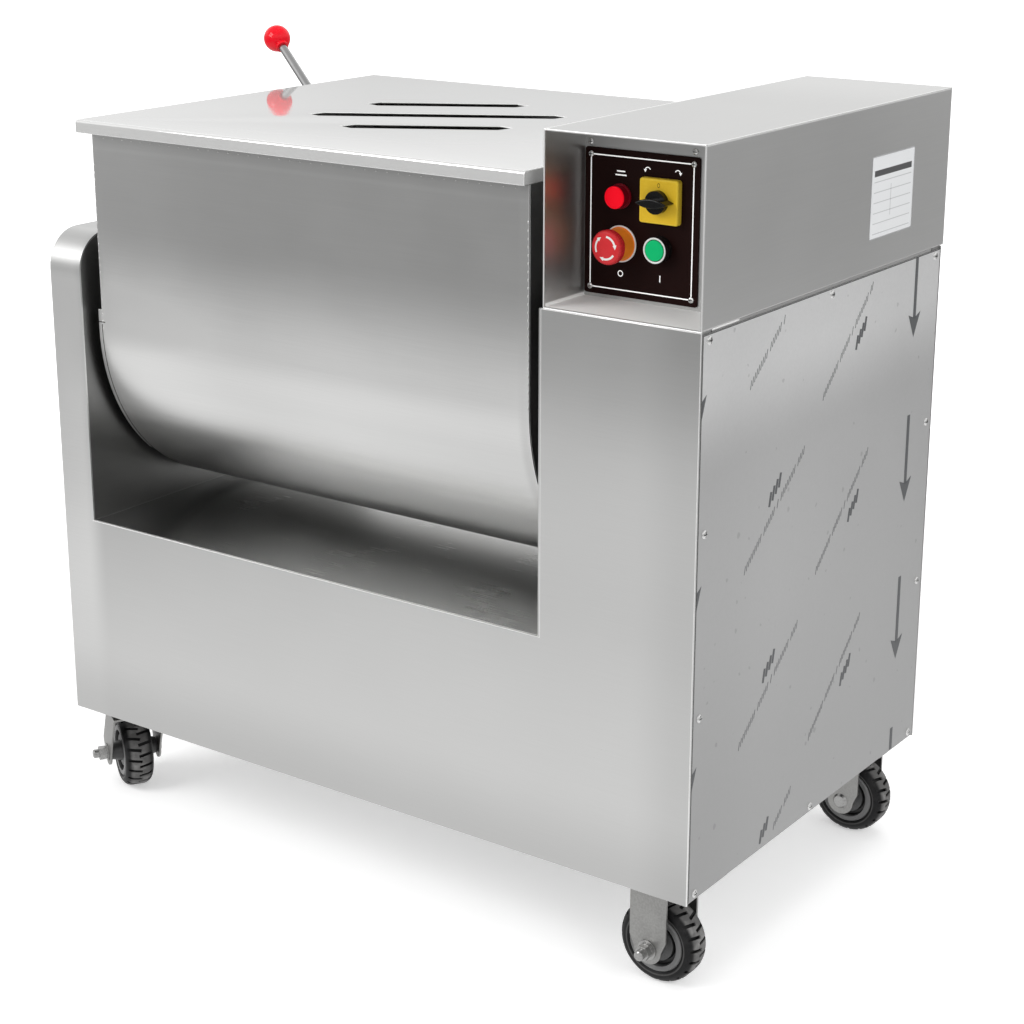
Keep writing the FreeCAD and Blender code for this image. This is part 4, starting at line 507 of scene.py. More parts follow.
@dataclass(frozen=True)
class WheelCentre(WheelFinish):
    """Grey wheel centre: pale rim ring, dark groove, darker middle."""

    rim: tuple = (26.8 * MM, 28.2 * MM)
    groove: float = 25.0 * MM

    def paint(self, graph: Graph) -> "tuple[dict, dict]":
        """Dirty grey in rings."""
        radius, _ = self.distances(graph)
        grains, dirt, varying = graph.surface((500.0, 3.0), (50.0, 3.0), (0.42, 0.12, 0.0), (0.00006, 0.5))
        shade = 0.30 + radius.step(*self.rim) * 0.55 + dirt * 0.35 + grains * 0.12
        plain = graph.mix(shade, (0.022, 0.022, 0.023), (0.20, 0.20, 0.20))
        groove = radius.band(self.groove, 0.0022, 0.0008) * 0.9
        return {}, {**varying, "Base Color": graph.mix(groove, plain, (0.006, 0.006, 0.006))}


@dataclass(frozen=True)
class TwoColourCap(Finish):
    """Round moulded device whose rim or side has a second colour."""

    node: str
    colour: tuple
    second: tuple
    radius: float = 1.0
    depth: float = 1.0
    inner: float = 0.0
    roughness: float = 0.25
    # Emission strength; on a part that is no lamp it is painted light.
    glow: float = 0.0
    coat: float = 0.3
    edge: float = 0.3 * MM

    def paint(self, graph: Graph) -> "tuple[dict, dict]":
        """First colour inside the radius and the depth, second colour beyond them."""
        radius, _, depth = graph.disc(front_middle(self.node))
        other = graph.math("MAXIMUM", radius.step(self.radius, self.radius + self.edge),
                           depth.step(self.depth, self.depth + 0.0004))
        if self.inner:
            other = graph.math("MAXIMUM", other, radius.drop(self.inner - self.edge, self.inner))
        grains, clouds, varying = graph.surface((600.0, 2.0), (80.0, 2.0), (self.roughness, 0.08, 0.03),
                                                (0.00002, 0.3))
        light = tuple(min(channel * 1.12, 1.0) for channel in self.colour)
        colour = graph.mix(other, graph.mix(clouds * 0.8 + grains * 0.3 + 0.5, self.colour, light), self.second)
        return ({"Coat Weight": self.coat, "Coat Roughness": 0.08, "Specular IOR Level": 0.15,
                 "Emission Strength": self.glow}, {**varying, "Base Color": colour, "Emission Color": colour})


@dataclass(frozen=True)
class StopCap(Finish):
    """Red stop head with three plain turning arrows and a finely ribbed side."""

    node: str
    ring: float = 12.2 * MM
    half_width: float = 1.0 * MM
    arrow_half: float = 2.5 * MM
    shaft_end: float = 0.56
    arrow_end: float = 0.76
    ribs: int = 44
    grip: tuple = (16.5 * MM, 17.2 * MM)

    def paint(self, graph: Graph) -> "tuple[dict, dict]":
        """Red with pale arrows on the front."""
        radius, turn, depth = graph.disc(front_middle(self.node))
        third = graph.math("FRACT", 3.0 - turn * 3.0 + 0.72)
        off_ring = (radius - self.ring).size()
        past = third.step(self.shaft_end, self.shaft_end + 0.01)
        shaft = off_ring.drop(self.half_width, self.half_width + 0.0002) * (third.step(0.0, 0.01) * (1.0 - past))
        taper = (self.arrow_end - third) / (self.arrow_end - self.shaft_end) * self.arrow_half
        arrow = (taper - off_ring).step(0.0, 0.0002) * past
        mark = graph.math("MINIMUM", shaft + arrow, 1.0) * depth.drop(0.004, 0.005)
        grains = graph.noise(500.0) - 0.5
        clouds = graph.noise(60.0) - 0.5
        red = graph.mix(clouds * 0.6 + grains * 0.3 + 0.5, (0.58, 0.018, 0.026), (0.74, 0.035, 0.04))
        ribs = graph.math("SINE", turn * (TURN * self.ribs)) * radius.step(*self.grip)
        return {"Specular IOR Level": 0.3}, {
            "Base Color": graph.mix(mark, red, (0.86, 0.84, 0.82)), "Roughness": 0.24 + clouds * 0.08,
            "Normal": graph.bump(ribs + grains * 0.05, 0.0004, 0.7)}


@dataclass(frozen=True)
class DialPlate(Finish):
    """Yellow switch plate with a plain nought over the knob and a painted highlight along its edges."""

    node: str
    rise: float = 17.2 * MM
    radius: float = 2.1 * MM
    slimness: float = 0.66
    edge: tuple = (21.7 * MM, 22.2 * MM)

    def paint(self, graph: Graph) -> "tuple[dict, dict]":
        """Yellow with a dark nought, a little brighter at its edges as a painted highlight."""
        centre = front_middle(self.node)
        x, _, z = graph.axes()
        across, rise = x - centre.x, z - centre.z
        nought = graph.length(across / self.slimness, rise - self.rise).band(self.radius, 0.00028, 0.00022)
        # Painted highlight: the plate's edges are made paler.
        rim = graph.math("MAXIMUM", across.size().step(*self.edge), rise.size().step(*self.edge))
        grains, clouds, varying = graph.surface((500.0, 3.0), (40.0, 2.0), (0.34, 0.1, 0.0), (0.00004, 0.4))
        plain = graph.mix(clouds * 0.5 + grains * 0.3 + rim * 0.3 + 0.4, (0.80, 0.48, 0.010), (0.96, 0.70, 0.07))
        return {"Specular IOR Level": 0.15}, {**varying, "Base Color": graph.mix(nought, plain, (0.10, 0.06, 0.01))}


@dataclass(frozen=True)
class RuledLabel(Finish):
    """Plain white plate with a dark band and empty ruled lines."""

    def paint(self, graph: Graph) -> "tuple[dict, dict]":
        """White with grey rows, a column line, a band and a frame."""
        low, high = label_corners()
        _, y, z = graph.axes()
        across = (y - low.y) / (high.y - low.y)
        rise = (z - low.z) / (high.z - low.z)
        inside = across.step(0.06, 0.07) * across.drop(0.93, 0.94)
        rows = graph.math("FRACT", rise * 8.0).band(0.5, 0.035, 0.02) * rise.drop(0.70, 0.705)
        column = across.band(0.46, 0.006, 0.004) * rise.drop(0.62, 0.63) * rise.step(0.24, 0.25)
        band = rise.band(0.79, 0.035, 0.004)
        frame_y = 1.0 - across.step(0.012, 0.016) * across.drop(0.984, 0.988)
        frame_z = 1.0 - rise.step(0.010, 0.014) * rise.drop(0.986, 0.990)
        dark = (rows * 0.35 + column * 0.3 + band * 0.95) * inside + (frame_y + frame_z) * 0.5
        fibres = graph.noise(700.0, 3.0) - 0.5
        return {"Coat Weight": 0.2, "Coat Roughness": 0.2}, {
            "Base Color": graph.mix(dark, (0.80, 0.81, 0.82), (0.02, 0.02, 0.022)),
            "Roughness": 0.38 + fibres * 0.1, "Normal": graph.bump(fibres, 0.00002, 0.3)}


@dataclass(frozen=True)
class ScrewSteel(Finish):
    """Plated screw whose driver slots get painted shade, by the faces' own attribute."""

    tone: float = 0.72

    def paint(self, graph: Graph) -> "tuple[dict, dict]":
        """Bright steel, rough in the slots, where they are darkened as painted shade."""
        slot = graph.node("Attribute", attribute_name="slot")["Fac"]
        grains, clouds, varying = graph.surface((600.0, 2.0), (120.0, 2.0), (0.26, 0.12, 0.0), (0.00004, 0.4))
        # Painted shade: the slot faces are darkened where shade falls in them.
        tone = (1.0 + grains * 0.2 + clouds * 0.3) * self.tone * (1.0 - slot * 0.92)
        return {"Metallic": 1.0}, {**varying, "Base Color": graph.grey(tone),
                                   "Roughness": varying["Roughness"] + slot * 0.4}


@dataclass(frozen=True)
class DarkPlate(Finish):
    """Dark brown printed plate with a satin lacquer."""

    def paint(self, graph: Graph) -> "tuple[dict, dict]":
        """Nearly black brown."""
        grains, clouds, varying = graph.surface((700.0, 2.0), (18.0, 3.0), (0.46, 0.12, 0.06), (0.00003, 0.4))
        colour = graph.mix(clouds * 0.6 + grains * 0.3 + 0.45, (0.009, 0.0025, 0.0022), (0.018, 0.006, 0.005))
        return {"Specular IOR Level": 0.06}, {**varying, "Base Color": colour}


def label_corners() -> "tuple[Vector, Vector]":
    """Lowest and highest corners of the label on the box's right face."""
    low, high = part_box("control_box")
    return Vector((high.x, low.y + 0.370, low.z + 0.057)), Vector((high.x, low.y + 0.480, low.z + 0.153))


def finishes() -> "dict[str, bpy.types.Material]":
    """Build every finish of the machine.

    Returns:
        Materials by the record's slot names, and a few more for printed details and painted highlights.
    """
    along_x, along_y = Grain.ALONG_X, Grain.ALONG_Y
    box_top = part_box("control_box")[1].z
    steels = (
        # The fades of the steels below paint light and shade into their tone.
        BrushedSteel("stainless_sheet", along_x, painted_shading=(
            Fade(2, 0.13, 0.24, 0.84, 1.0), Fade(2, 0.42, 0.62, 1.0, 1.22), Fade(0, 0.44, 0.51, 1.0, 0.90),
            Patch(Fade(2, 0.62, 0.765, 1.0, 0.80), 0.25, 0.60),
            Patch(Fade(2, 0.16, 0.44, 1.04, 1.36), -0.50, -0.40, 0.035),
            Patch(Fade(2, 0.715, 0.765, 1.0, 0.56), -0.50, -0.30))),
        BrushedSteel("shaded_sheet", along_y, 0.30, 0.36, (Fade(2, 0.42, 0.62, 1.15, 1.0),)),
        # Column's inner plate: a darker copy of the sheet steel, as painted shade.
        BrushedSteel("shaded_column_sheet", Grain.ALONG_Z, 0.20, 0.36),
        BrushedSteel("recess_sheet", along_x, 0.50, 0.42),
        # Box sheet: its top and its rear are painted paler as painted light, and its recess floor gets a painted pool
        # of light.
        BrushedSteel("box_sheet", along_y, 0.68, 0.42, (
            Fade(2, box_top - 0.003, box_top - 0.001, 1.0, 1.06), Fade(1, 0.0, 0.28, 1.0, 1.10)), "backing_plate"),
        # Painted highlight: near-white steel for rounded edges and bend tubes, standing in for the light that bends
        # catch.
        BrushedSteel("painted_highlight_edge", along_y, 0.98, 0.45),
        TankSteel("tank_steel", painted_shading=(
            Fade(0, -0.36, -0.10, 1.17, 1.0), Fade(0, 0.0, 0.25, 1.0, 0.92), Fade(2, 0.67, 0.80, 1.72, 1.0),
            Fade(2, 0.595, 0.665, 0.745, 1.0), Fade(2, 0.528, 0.548, 0.80, 1.0), Fade(2, 0.44, 0.52, 0.75, 1.0))),
        BrushedSteel("lid_steel", along_x, 0.76, 0.05, metal=0.5),
        BrushedSteel("deck_steel", along_x, 0.96, 0.26, (
            Fade(0, -0.40, -0.10, 0.76, 1.0), Fade(1, -0.29, -0.10, 0.76, 1.0))),
        FilmedSheet("filmed_sheet"),
        BrushedSteel("frame_steel", along_y, 0.45, 0.42),
        PlainSteel("machined_steel", 0.46, 0.20),
        PlainSteel("zinc_steel", 0.31, 0.44, 0.03, 0.30),
        PlainSteel("bright_fastener", 0.36, 0.30, 0.02, 0.35),
        ScrewSteel("cross_screw"),
        PlainSteel("weld_bead", 0.75, 0.35, 0.02, 0.2),
    )
    others = (
        Moulded("cast_housing", (0.16, 0.165, 0.17), 0.55, 260.0, 0.0002, 0.2, metallic=0.6),
        Moulded("gearbox_casting", (0.34, 0.35, 0.36), 0.5, 260.0, 0.0002, 0.15, metallic=0.7),
        Moulded("motor_paint", (0.06, 0.11, 0.19), 0.42, 300.0, 0.0001, 0.15, 0.15),
        DarkPlate("dark_panel"),
        TwoColourCap("red_lens", "power_lamp", (0.94, 0.0005, 0.014), (0.14, 0.002, 0.008), depth=1.6 * MM,
                     roughness=0.3, glow=0.16, coat=0.0),
        StopCap("red_cap", "estop_head"),
        # The green cap's faint glow is painted light.
        TwoColourCap("green_cap", "start_button", (0.001, 0.46, 0.15), (0.001, 0.20, 0.06), depth=3.0 * MM,
                     roughness=0.35, glow=0.08, coat=0.0),
        TwoColourCap("stop_collar", "estop_collar", (0.92, 0.25, 0.022), (0.92, 0.91, 0.89), radius=18.4 * MM),
        TwoColourCap("white_bezel", "start_bezel", (0.80, 0.80, 0.79), (0.014, 0.012, 0.012), radius=13.8 * MM,
                     depth=2.2 * MM, inner=12.1 * MM),
        DialPlate("yellow_plate", "switch_plate"),
        Moulded("black_plastic", (0.004, 0.004, 0.004), 0.10, 500.0, 0.00002, 0.2, specular=0.22),
        Moulded("red_ball", (0.84, 0.001, 0.014), 0.08, 300.0, 0.00001, 0.05, specular=0.28),
        Moulded("grey_device", (0.22, 0.225, 0.23), 0.5, 400.0, 0.0001, 0.12),
        Moulded("seal_rubber", (0.02, 0.02, 0.02), 0.6, 400.0, 0.0001, 0.2),
        # White print with a faint glow, which is painted light.
        Moulded("white_print", (0.95, 0.95, 0.94), 0.6, 900.0, 0.00001, 0.04, glow=0.42),
        Moulded("grey_print", (0.085, 0.088, 0.092), 0.5, 900.0, 0.00001, 0.15),
        RuledLabel("label_paper"),
    )
    made = {finish.name: finish.build() for finish in steels + others}
    for joint in frame["record"]["behaviour"]["joints"]:
        if joint["name"].endswith("_roll"):
            corner = joint["name"].removesuffix("_roll")
            place = tuple(joint["pos_m"]), tuple(joint["axis"])
            made[corner + "_tyre"] = TyreRubber(corner + "_tyre_rubber", *place).build()
            made[corner + "_hub"] = WheelCentre(corner + "_wheel_centre", *place).build()
    return made


PAINT = finishes()


# Mesh tools


def link(name: str, mesh: bpy.types.Mesh) -> bpy.types.Object:
    """New object at the origin for a mesh."""
    made = bpy.data.objects.new(name, mesh)
    bpy.context.scene.collection.objects.link(made)
    return made


def dress(piece: bpy.types.Object, finish: str, body: str, nodes: tuple = ()) -> bpy.types.Object:
    """Give a piece its finish, its body and the nodes that it stands for.

    Args:
        piece: The piece.
        finish: Name of its finish, for a mesh that has none.
        body: Body that it rides on.
        nodes: Nodes that it replaces.

    Returns:
        The same piece.
    """
    if not piece.data.materials:
        piece.data.materials.append(PAINT[finish])
    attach(piece, body)
    if nodes:
        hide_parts(*nodes)
    log.info("piece %s on %s, %d faces", piece.name, body, len(piece.data.polygons))
    return piece


def repaint(node: str, finish: str) -> None:
    """Put a finish in a CAD node's material slots."""
    for slot in frame["nodes"][node].material_slots:
        slot.material = PAINT[finish]
    log.info("node %s keeps its shape, finish %s", node, finish)


def eased(node: str, finish: str, width: float = 0.7 * MM, angle: float = 32.0,
          edge: str = "") -> bpy.types.Object:
    """Copy of a CAD node with merged faces, smooth curves and small rounded edges.

    Args:
        node: Node that the piece stands for.
        finish: Name of the finish.
        width: Width of the rounding, in metres.
        angle: Angle from which an edge is sharp, in degrees.
        edge: Finish of the rounded edges, where it is another, such as the near-white steel of a painted highlight.

    Returns:
        The piece.
    """
    form = bmesh.new()
    form.from_mesh(frame["nodes"][node].data)
    for layer in list(form.loops.layers.uv):
        form.loops.layers.uv.remove(layer)
    bmesh.ops.remove_doubles(form, verts=form.verts, dist=2e-6)
    bmesh.ops.dissolve_limit(form, angle_limit=math.radians(0.4), verts=form.verts, edges=form.edges)
    mesh = bpy.data.meshes.new(node + "_eased")
    form.to_mesh(mesh)
    form.free()
    if "custom_normal" in mesh.attributes:
        mesh.attributes.remove(mesh.attributes["custom_normal"])
    mesh.shade_smooth()
    mesh.set_sharp_from_angle(angle=math.radians(angle))
    piece = link(node + "_eased", mesh)
    bevel = piece.modifiers.new("rounding", "BEVEL")
    bevel.width = width
    bevel.segments = 2
    bevel.limit_method = "ANGLE"
    bevel.angle_limit = math.radians(angle)
    bevel.harden_normals = True
    bevel.use_clamp_overlap = True
    if edge:
        mesh.materials.append(PAINT[finish])
        mesh.materials.append(PAINT[edge])
        bevel.material = 1
    record = frame["record"]
    body = next(name for name, members in record["behaviour"]["bodies"].items() if node in members)
    return dress(piece, finish, body, (node,))


def flat_piece(name: str, outlines: "list[list[Vector]]") -> bpy.types.Object:
    """Thin piece made of flat outlines, one face each."""
    mesh = bpy.data.meshes.new(name)
    points, faces = [], []
    for outline in outlines:
        faces.append(list(range(len(points), len(points) + len(outline))))
        points.extend(outline)
    mesh.from_pydata(points, [], faces)
    mesh.update()
    return link(name, mesh)


class ShapeTree:
    """Geometry Nodes tree with named sizes, baked to a plain mesh."""

    def __init__(self, name: str, finish: str, joined: bool = False) -> None:
        """Start a tree with one geometry input and one geometry output.

        Args:
            name: Its name.
            finish: Finish of what it makes.
            joined: True where it starts from a line through its points.
        """
        self.finish = finish
        self.joined = joined
        self.tree = bpy.data.node_groups.new(name, "GeometryNodeTree")
        for way in ("INPUT", "OUTPUT"):
            self.tree.interface.new_socket("Geometry", in_out=way, socket_type="NodeSocketGeometry")
        self.source = self.tree.nodes.new("NodeGroupInput")
        self.sink = self.tree.nodes.new("NodeGroupOutput")
        self.points = self.source.outputs["Geometry"]

    def size(self, name: str, value: "float | tuple") -> bpy.types.NodeSocket:
        """Named number or vector input of the tree, by the type of its default value."""
        kind = "NodeSocketVector" if isinstance(value, tuple) else "NodeSocketFloat"
        self.tree.interface.new_socket(name, in_out="INPUT", socket_type=kind).default_value = value
        return self.source.outputs[name]

    def node(self, kind: str, inputs: "dict | None" = None, **settings: object) -> bpy.types.Node:
        """Add any node.

        Args:
            kind: Its type, where a geometry node goes without the word that all of them start with.
            inputs: Values, sockets, nodes or lists of nodes for its input sockets.
            settings: Its settings.

        Returns:
            The node.
        """
        made = self.tree.nodes.new(kind if kind.startswith("Shader") else "GeometryNode" + kind)
        for name, value in settings.items():
            setattr(made, name, value)
        for name, value in (inputs or {}).items():
            for part in value if isinstance(value, list) else [value]:
                if isinstance(part, bpy.types.NodeSocket):
                    self.tree.links.new(part, made.inputs[name])
                elif isinstance(part, bpy.types.Node):
                    self.tree.links.new(part.outputs[0], made.inputs[name])
                else:
                    made.inputs[name].default_value = part
        return made

    def close(self, geometry: bpy.types.Node) -> "ShapeTree":
        """End the tree in Realize Instances and Set Material."""
        real = self.node("RealizeInstances", {"Geometry": geometry})
        painted = self.node("SetMaterial", {"Geometry": real, "Material": PAINT[self.finish]})
        self.tree.links.new(painted.outputs[0], self.sink.inputs[0])
        return self

    def scatter(self, instance: bpy.types.Node, **turn: bpy.types.NodeSocket) -> "ShapeTree":
        """End the tree in an instance on each point."""
        return self.close(self.node("InstanceOnPoints", {"Points": self.points, "Instance": instance, **turn}))

    def bake(self, name: str, points: "list[Vector]", values: dict, body: str,
             nodes: tuple = ()) -> bpy.types.Object:
        """Run the tree on points and keep the result as a plain, dressed mesh.

        Args:
            name: Name of the piece.
            points: Points that the tree starts from.
            values: Sizes by input name.
            body: Body that the piece rides on.
            nodes: Nodes that it replaces.

        Returns:
            The piece.
        """
        cloud = bpy.data.meshes.new(name + "_points")
        lines = [(step, step + 1) for step in range(len(points) - 1)] if self.joined else []
        cloud.from_pydata(points, lines, [])
        maker = link(name + "_maker", cloud)
        modifier = maker.modifiers.new("shape", "NODES")
        modifier.node_group = self.tree
        for item in self.tree.interface.items_tree:
            if item.item_type == "SOCKET" and item.in_out == "INPUT" and item.name in values:
                modifier[item.identifier] = values[item.name]
        mesh = bpy.data.meshes.new_from_object(maker.evaluated_get(bpy.context.evaluated_depsgraph_get()))
        mesh.name = name
        form = bmesh.new()
        form.from_mesh(mesh)
        stray = [vertex for vertex in form.verts if not vertex.link_faces]
        bmesh.ops.delete(form, geom=stray, context="VERTS")
        form.to_mesh(mesh)
        form.free()
        maker.modifiers.remove(modifier)
        bpy.data.objects.remove(maker)
        return dress(link(name, mesh), self.finish, body, nodes)


def screw_tree() -> ShapeTree:
    """Tree that puts a domed, cross-slotted screw head on each point."""
    tree = ShapeTree("screw_heads", "cross_screw")
    radius = tree.size("Head Radius", 5.0 * MM)
    height = tree.size("Head Height", 2.6 * MM)
    turn = tree.size("Turn", (0.0, 0.0, 0.0))
    dome = tree.node("MeshUVSphere", {"Segments": 28, "Rings": 14, "Radius": 1.0})
    head = tree.node("Transform", {"Geometry": dome, "Scale": tree.node("ShaderNodeCombineXYZ", {
        0: radius, 1: radius, 2: height})})
    sunk = tree.node("ShaderNodeMath", {0: height, 1: 0.42}, operation="MULTIPLY")
    lift = tree.node("ShaderNodeCombineXYZ", {2: tree.node(
        "ShaderNodeMath", {0: radius, 1: 0.45, 2: sunk}, operation="MULTIPLY_ADD")})
    bars = []
    for shares in ((1.35, 0.22, 0.9), (0.22, 1.35, 0.9)):
        extent = tree.node("ShaderNodeVectorMath", {0: shares, "Scale": radius}, operation="SCALE")
        bars.append(tree.node("Transform", {
            "Geometry": tree.node("MeshCube", {"Size": extent}), "Translation": lift}))
    cross = tree.node("MeshBoolean", {1: bars}, operation="UNION")
    marked = tree.node("StoreNamedAttribute", {"Geometry": cross, "Name": "slot", "Value": 1.0},
                       data_type="FLOAT", domain="FACE")
    cut = tree.node("MeshBoolean", {0: head, 1: marked}, operation="DIFFERENCE")
    return tree.scatter(cut, Rotation=turn)


def bead_tree() -> ShapeTree:
    """Tree that puts a low weld bead on each point."""
    tree = ShapeTree("weld_beads", "weld_bead")
    length = tree.size("Bead Length", 1.6 * MM)
    width = tree.size("Bead Width", 1.1 * MM)
    dome = tree.node("MeshIcoSphere", {"Radius": 1.0, "Subdivisions": 2})
    scale = tree.node("ShaderNodeCombineXYZ", {0: width, 1: width, 2: length})
    return tree.scatter(tree.node("Transform", {"Geometry": dome, "Scale": scale}))


def bend_tree(name: str, finish: str) -> ShapeTree:
    """Tree that turns lines into thin round tubes: bright ones as painted highlights along bend edges, dark ones as
    painted shade in gaps.
    """
    tree = ShapeTree(name, finish, joined=True)
    line = tree.node("MeshToCurve", {"Mesh": tree.points})
    ring = tree.node("CurvePrimitiveCircle", {"Resolution": 10, "Radius": tree.size("Bend Radius", 1.1 * MM)},
                     mode="RADIUS")
    tube = tree.node("CurveToMesh", {"Curve": line, "Profile Curve": ring, "Fill Caps": True})
    return tree.close(tree.node("SetShadeSmooth", {"Geometry": tube, "Shade Smooth": True}))


def tick_tree() -> ShapeTree:
    """Tree that puts a thin slanted bar on each point of the film's print."""
    tree = ShapeTree("film_ticks", "grey_print")
    length = tree.size("Tick Length", 9.0 * MM)
    width = tree.size("Tick Width", 1.6 * MM)
    extent = tree.node("ShaderNodeCombineXYZ", {0: 0.1 * MM, 1: width, 2: length})
    return tree.scatter(tree.node("MeshCube", {"Size": extent}), Rotation=tree.size("Slant", (0.0, 0.0, 0.0)))


# Sub-assemblies


@dataclass
class Cabinet:
    """Sheets, column, arm, deck and side panel."""

    bend_radius: float = 0.8 * MM
    crease_lift: float = 0.2 * MM
    crease_inset: float = 4.0 * MM
    screw_radius: float = 5.0 * MM
    screw_height: float = 2.55 * MM
    arrow_half: float = 16.5 * MM
    arrow_head: float = 30.0 * MM
    arrow_notch: float = 6.0 * MM
    arrow_shaft: float = 3.8 * MM
    arrow_place: float = 501.0 * MM
    print_pitch: float = 209.5 * MM
    print_drop: float = 3.0 * MM
    print_lift: float = 0.1 * MM
    tick_lift: float = 0.06 * MM
    tick_pitch: float = 5.4 * MM
    word_gap: float = 5.0 * MM
    bold_pitch: float = 9.0 * MM
    slant: float = -12.0
    words: tuple = (9, 6, 1, 8, 4)

    def sheets(self) -> None:
        """Sheets with their rounded edges, which carry a painted highlight."""
        for node, finish in {
            "front_sheet": "stainless_sheet", "rear_sheet": "stainless_sheet",
            "left_side_plate": "stainless_sheet", "arm_inner_plate": "shaded_sheet", "deck_sheet": "deck_steel",
            "column_inner_plate": "shaded_column_sheet", "side_panel": "filmed_sheet",
        }.items():
            eased(node, finish, 1.0 * MM, edge="painted_highlight_edge")

    def bends(self, tree: ShapeTree) -> None:
        """Painted highlights: thin bright tubes along the bend lines of the cabinet's front and of the box, and along
        the deck's creases.
        """
        front_low, front_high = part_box("front_sheet")
        deck_low, deck_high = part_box("deck_sheet")
        box_low, box_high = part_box("control_box")
        inset = self.bend_radius * 0.8
        column, top, deck = deck_high.x + inset, front_high.z - inset, deck_high.z - inset
        right = front_high.x - inset
        ways = {"front_bend_highlights": [Vector((x, front_low.y + inset, z)) for x, z in (
            (right, front_low.z + inset), (right, top), (column, top), (column, deck), (deck_low.x - inset, deck))]}
        low = Vector((box_low.x + inset, box_low.y + inset, front_high.z + inset))
        high = box_high - Vector((inset, inset, inset))
        corners = [Vector(corner) for corner in (
            (low.x, low.y, low.z), (low.x, low.y, high.z), (high.x, low.y, high.z), (high.x, low.y, low.z),
            (low.x, high.y, high.z), (high.x, high.y, high.z), (high.x, high.y, low.z))]
        for number, ends in enumerate(((0, 1), (1, 2), (2, 3), (0, 3), (1, 4), (2, 5), (4, 5), (5, 6))):
            ways[f"box_bend_line_{number}"] = [corners[end] for end in ends]
        for name, x in (("left", deck_low.x + inset), ("right", deck_high.x - inset)):
            ways[f"deck_crease_{name}"] = [Vector((x, y, deck_high.z + self.crease_lift)) for y in (
                deck_low.y + self.crease_inset, deck_high.y - self.crease_inset)]
        for name, points in ways.items():
            tree.bake(name, points, {"Bend Radius": self.bend_radius}, "cabinet")

    def inside(self) -> None:
        """Underframe, gland and what is inside the cabinet."""
        for node, finish in {
            "frame_tubes": "frame_steel", "corner_gussets": "frame_steel", "cable_gland": "black_plastic",
        }.items():
            eased(node, finish)
        for node, finish in {
            "switchgear": "grey_device", "contact_blocks": "grey_device", "bearing_bolts": "bright_fastener",
            "bearing_housings": "cast_housing", "gearbox_standoffs": "bright_fastener",
            "gearbox": "gearbox_casting", "motor_case": "motor_paint", "fan_cowl": "motor_paint",
            "motor_rotor": "machined_steel",
        }.items():
            repaint(node, finish)

    def screws(self, tree: ShapeTree) -> None:
        """Ten screws of the side panel: four down each side, one more at the middle of top and bottom."""
        low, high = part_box("side_panel_screws")
        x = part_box("side_panel")[1].x
        radius = self.screw_radius
        rows = [low.z + radius + (high.z - low.z - 2 * radius) * step / 3 for step in range(4)]
        places = [Vector((x, y, z)) for y in (low.y + radius, high.y - radius) for z in rows]
        places += [Vector((x, (low.y + high.y) / 2, z)) for z in (rows[0], rows[-1])]
        tree.bake("side_panel_screw_heads", places, {
            "Head Radius": radius, "Head Height": self.screw_height, "Turn": (0.0, math.pi / 2, 0.0)},
            "cabinet", ("side_panel_screws",))

    def film_marks(self) -> None:
        """Plain grey arrows down both sides of the film, cut where the sheet ends."""
        low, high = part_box("side_panel")
        x, y = high.x + self.print_lift, low.y + self.arrow_place
        floor = low.z - self.print_drop
        outlines = []
        for step, tail in enumerate((floor + 0.240, floor + 0.450, high.z - 0.001)):
            outlines += self.arrow(x, y, tail, floor + 0.129 + step * self.print_pitch)
        shaft = self.arrow_shaft
        outlines.append([Vector((x, y + side * shaft, z)) for side, z in (
            (-1, low.z + 0.001), (1, low.z + 0.001), (1, floor + 0.034), (-1, floor + 0.034))])
        edge = low.y + 0.0012
        for step in range(3):
            tip = floor + 0.134 + step * self.print_pitch
            outlines.append([Vector((x, y, z)) for y, z in (
                (edge, tip + 0.004), (edge + 0.009, tip + self.arrow_head),
                (edge, tip + self.arrow_head - self.arrow_notch))])
        dress(flat_piece("film_arrows", outlines), "grey_print", "cabinet")

    def arrow(self, x: float, y: float, top: float, bottom: float) -> "list[list[Vector]]":
        """Outlines of one arrow that points down, facing right: both halves of its head, and its shaft.

        Args:
            x: Plane of the arrow.
            y: Its middle.
            top: Height of its tail.
            bottom: Height of its point.

        Returns:
            The outlines.
        """
        half, shaft, wing = self.arrow_half, self.arrow_shaft, bottom + self.arrow_head
        neck = wing - self.arrow_notch
        return [[Vector((x, y + across, z)) for across, z in outline] for outline in (
            ((0.0, bottom), (half, wing), (0.0, neck)),
            ((0.0, bottom), (0.0, neck), (-half, wing)),
            ((-shaft, neck), (shaft, neck), (shaft, top), (-shaft, top)))]

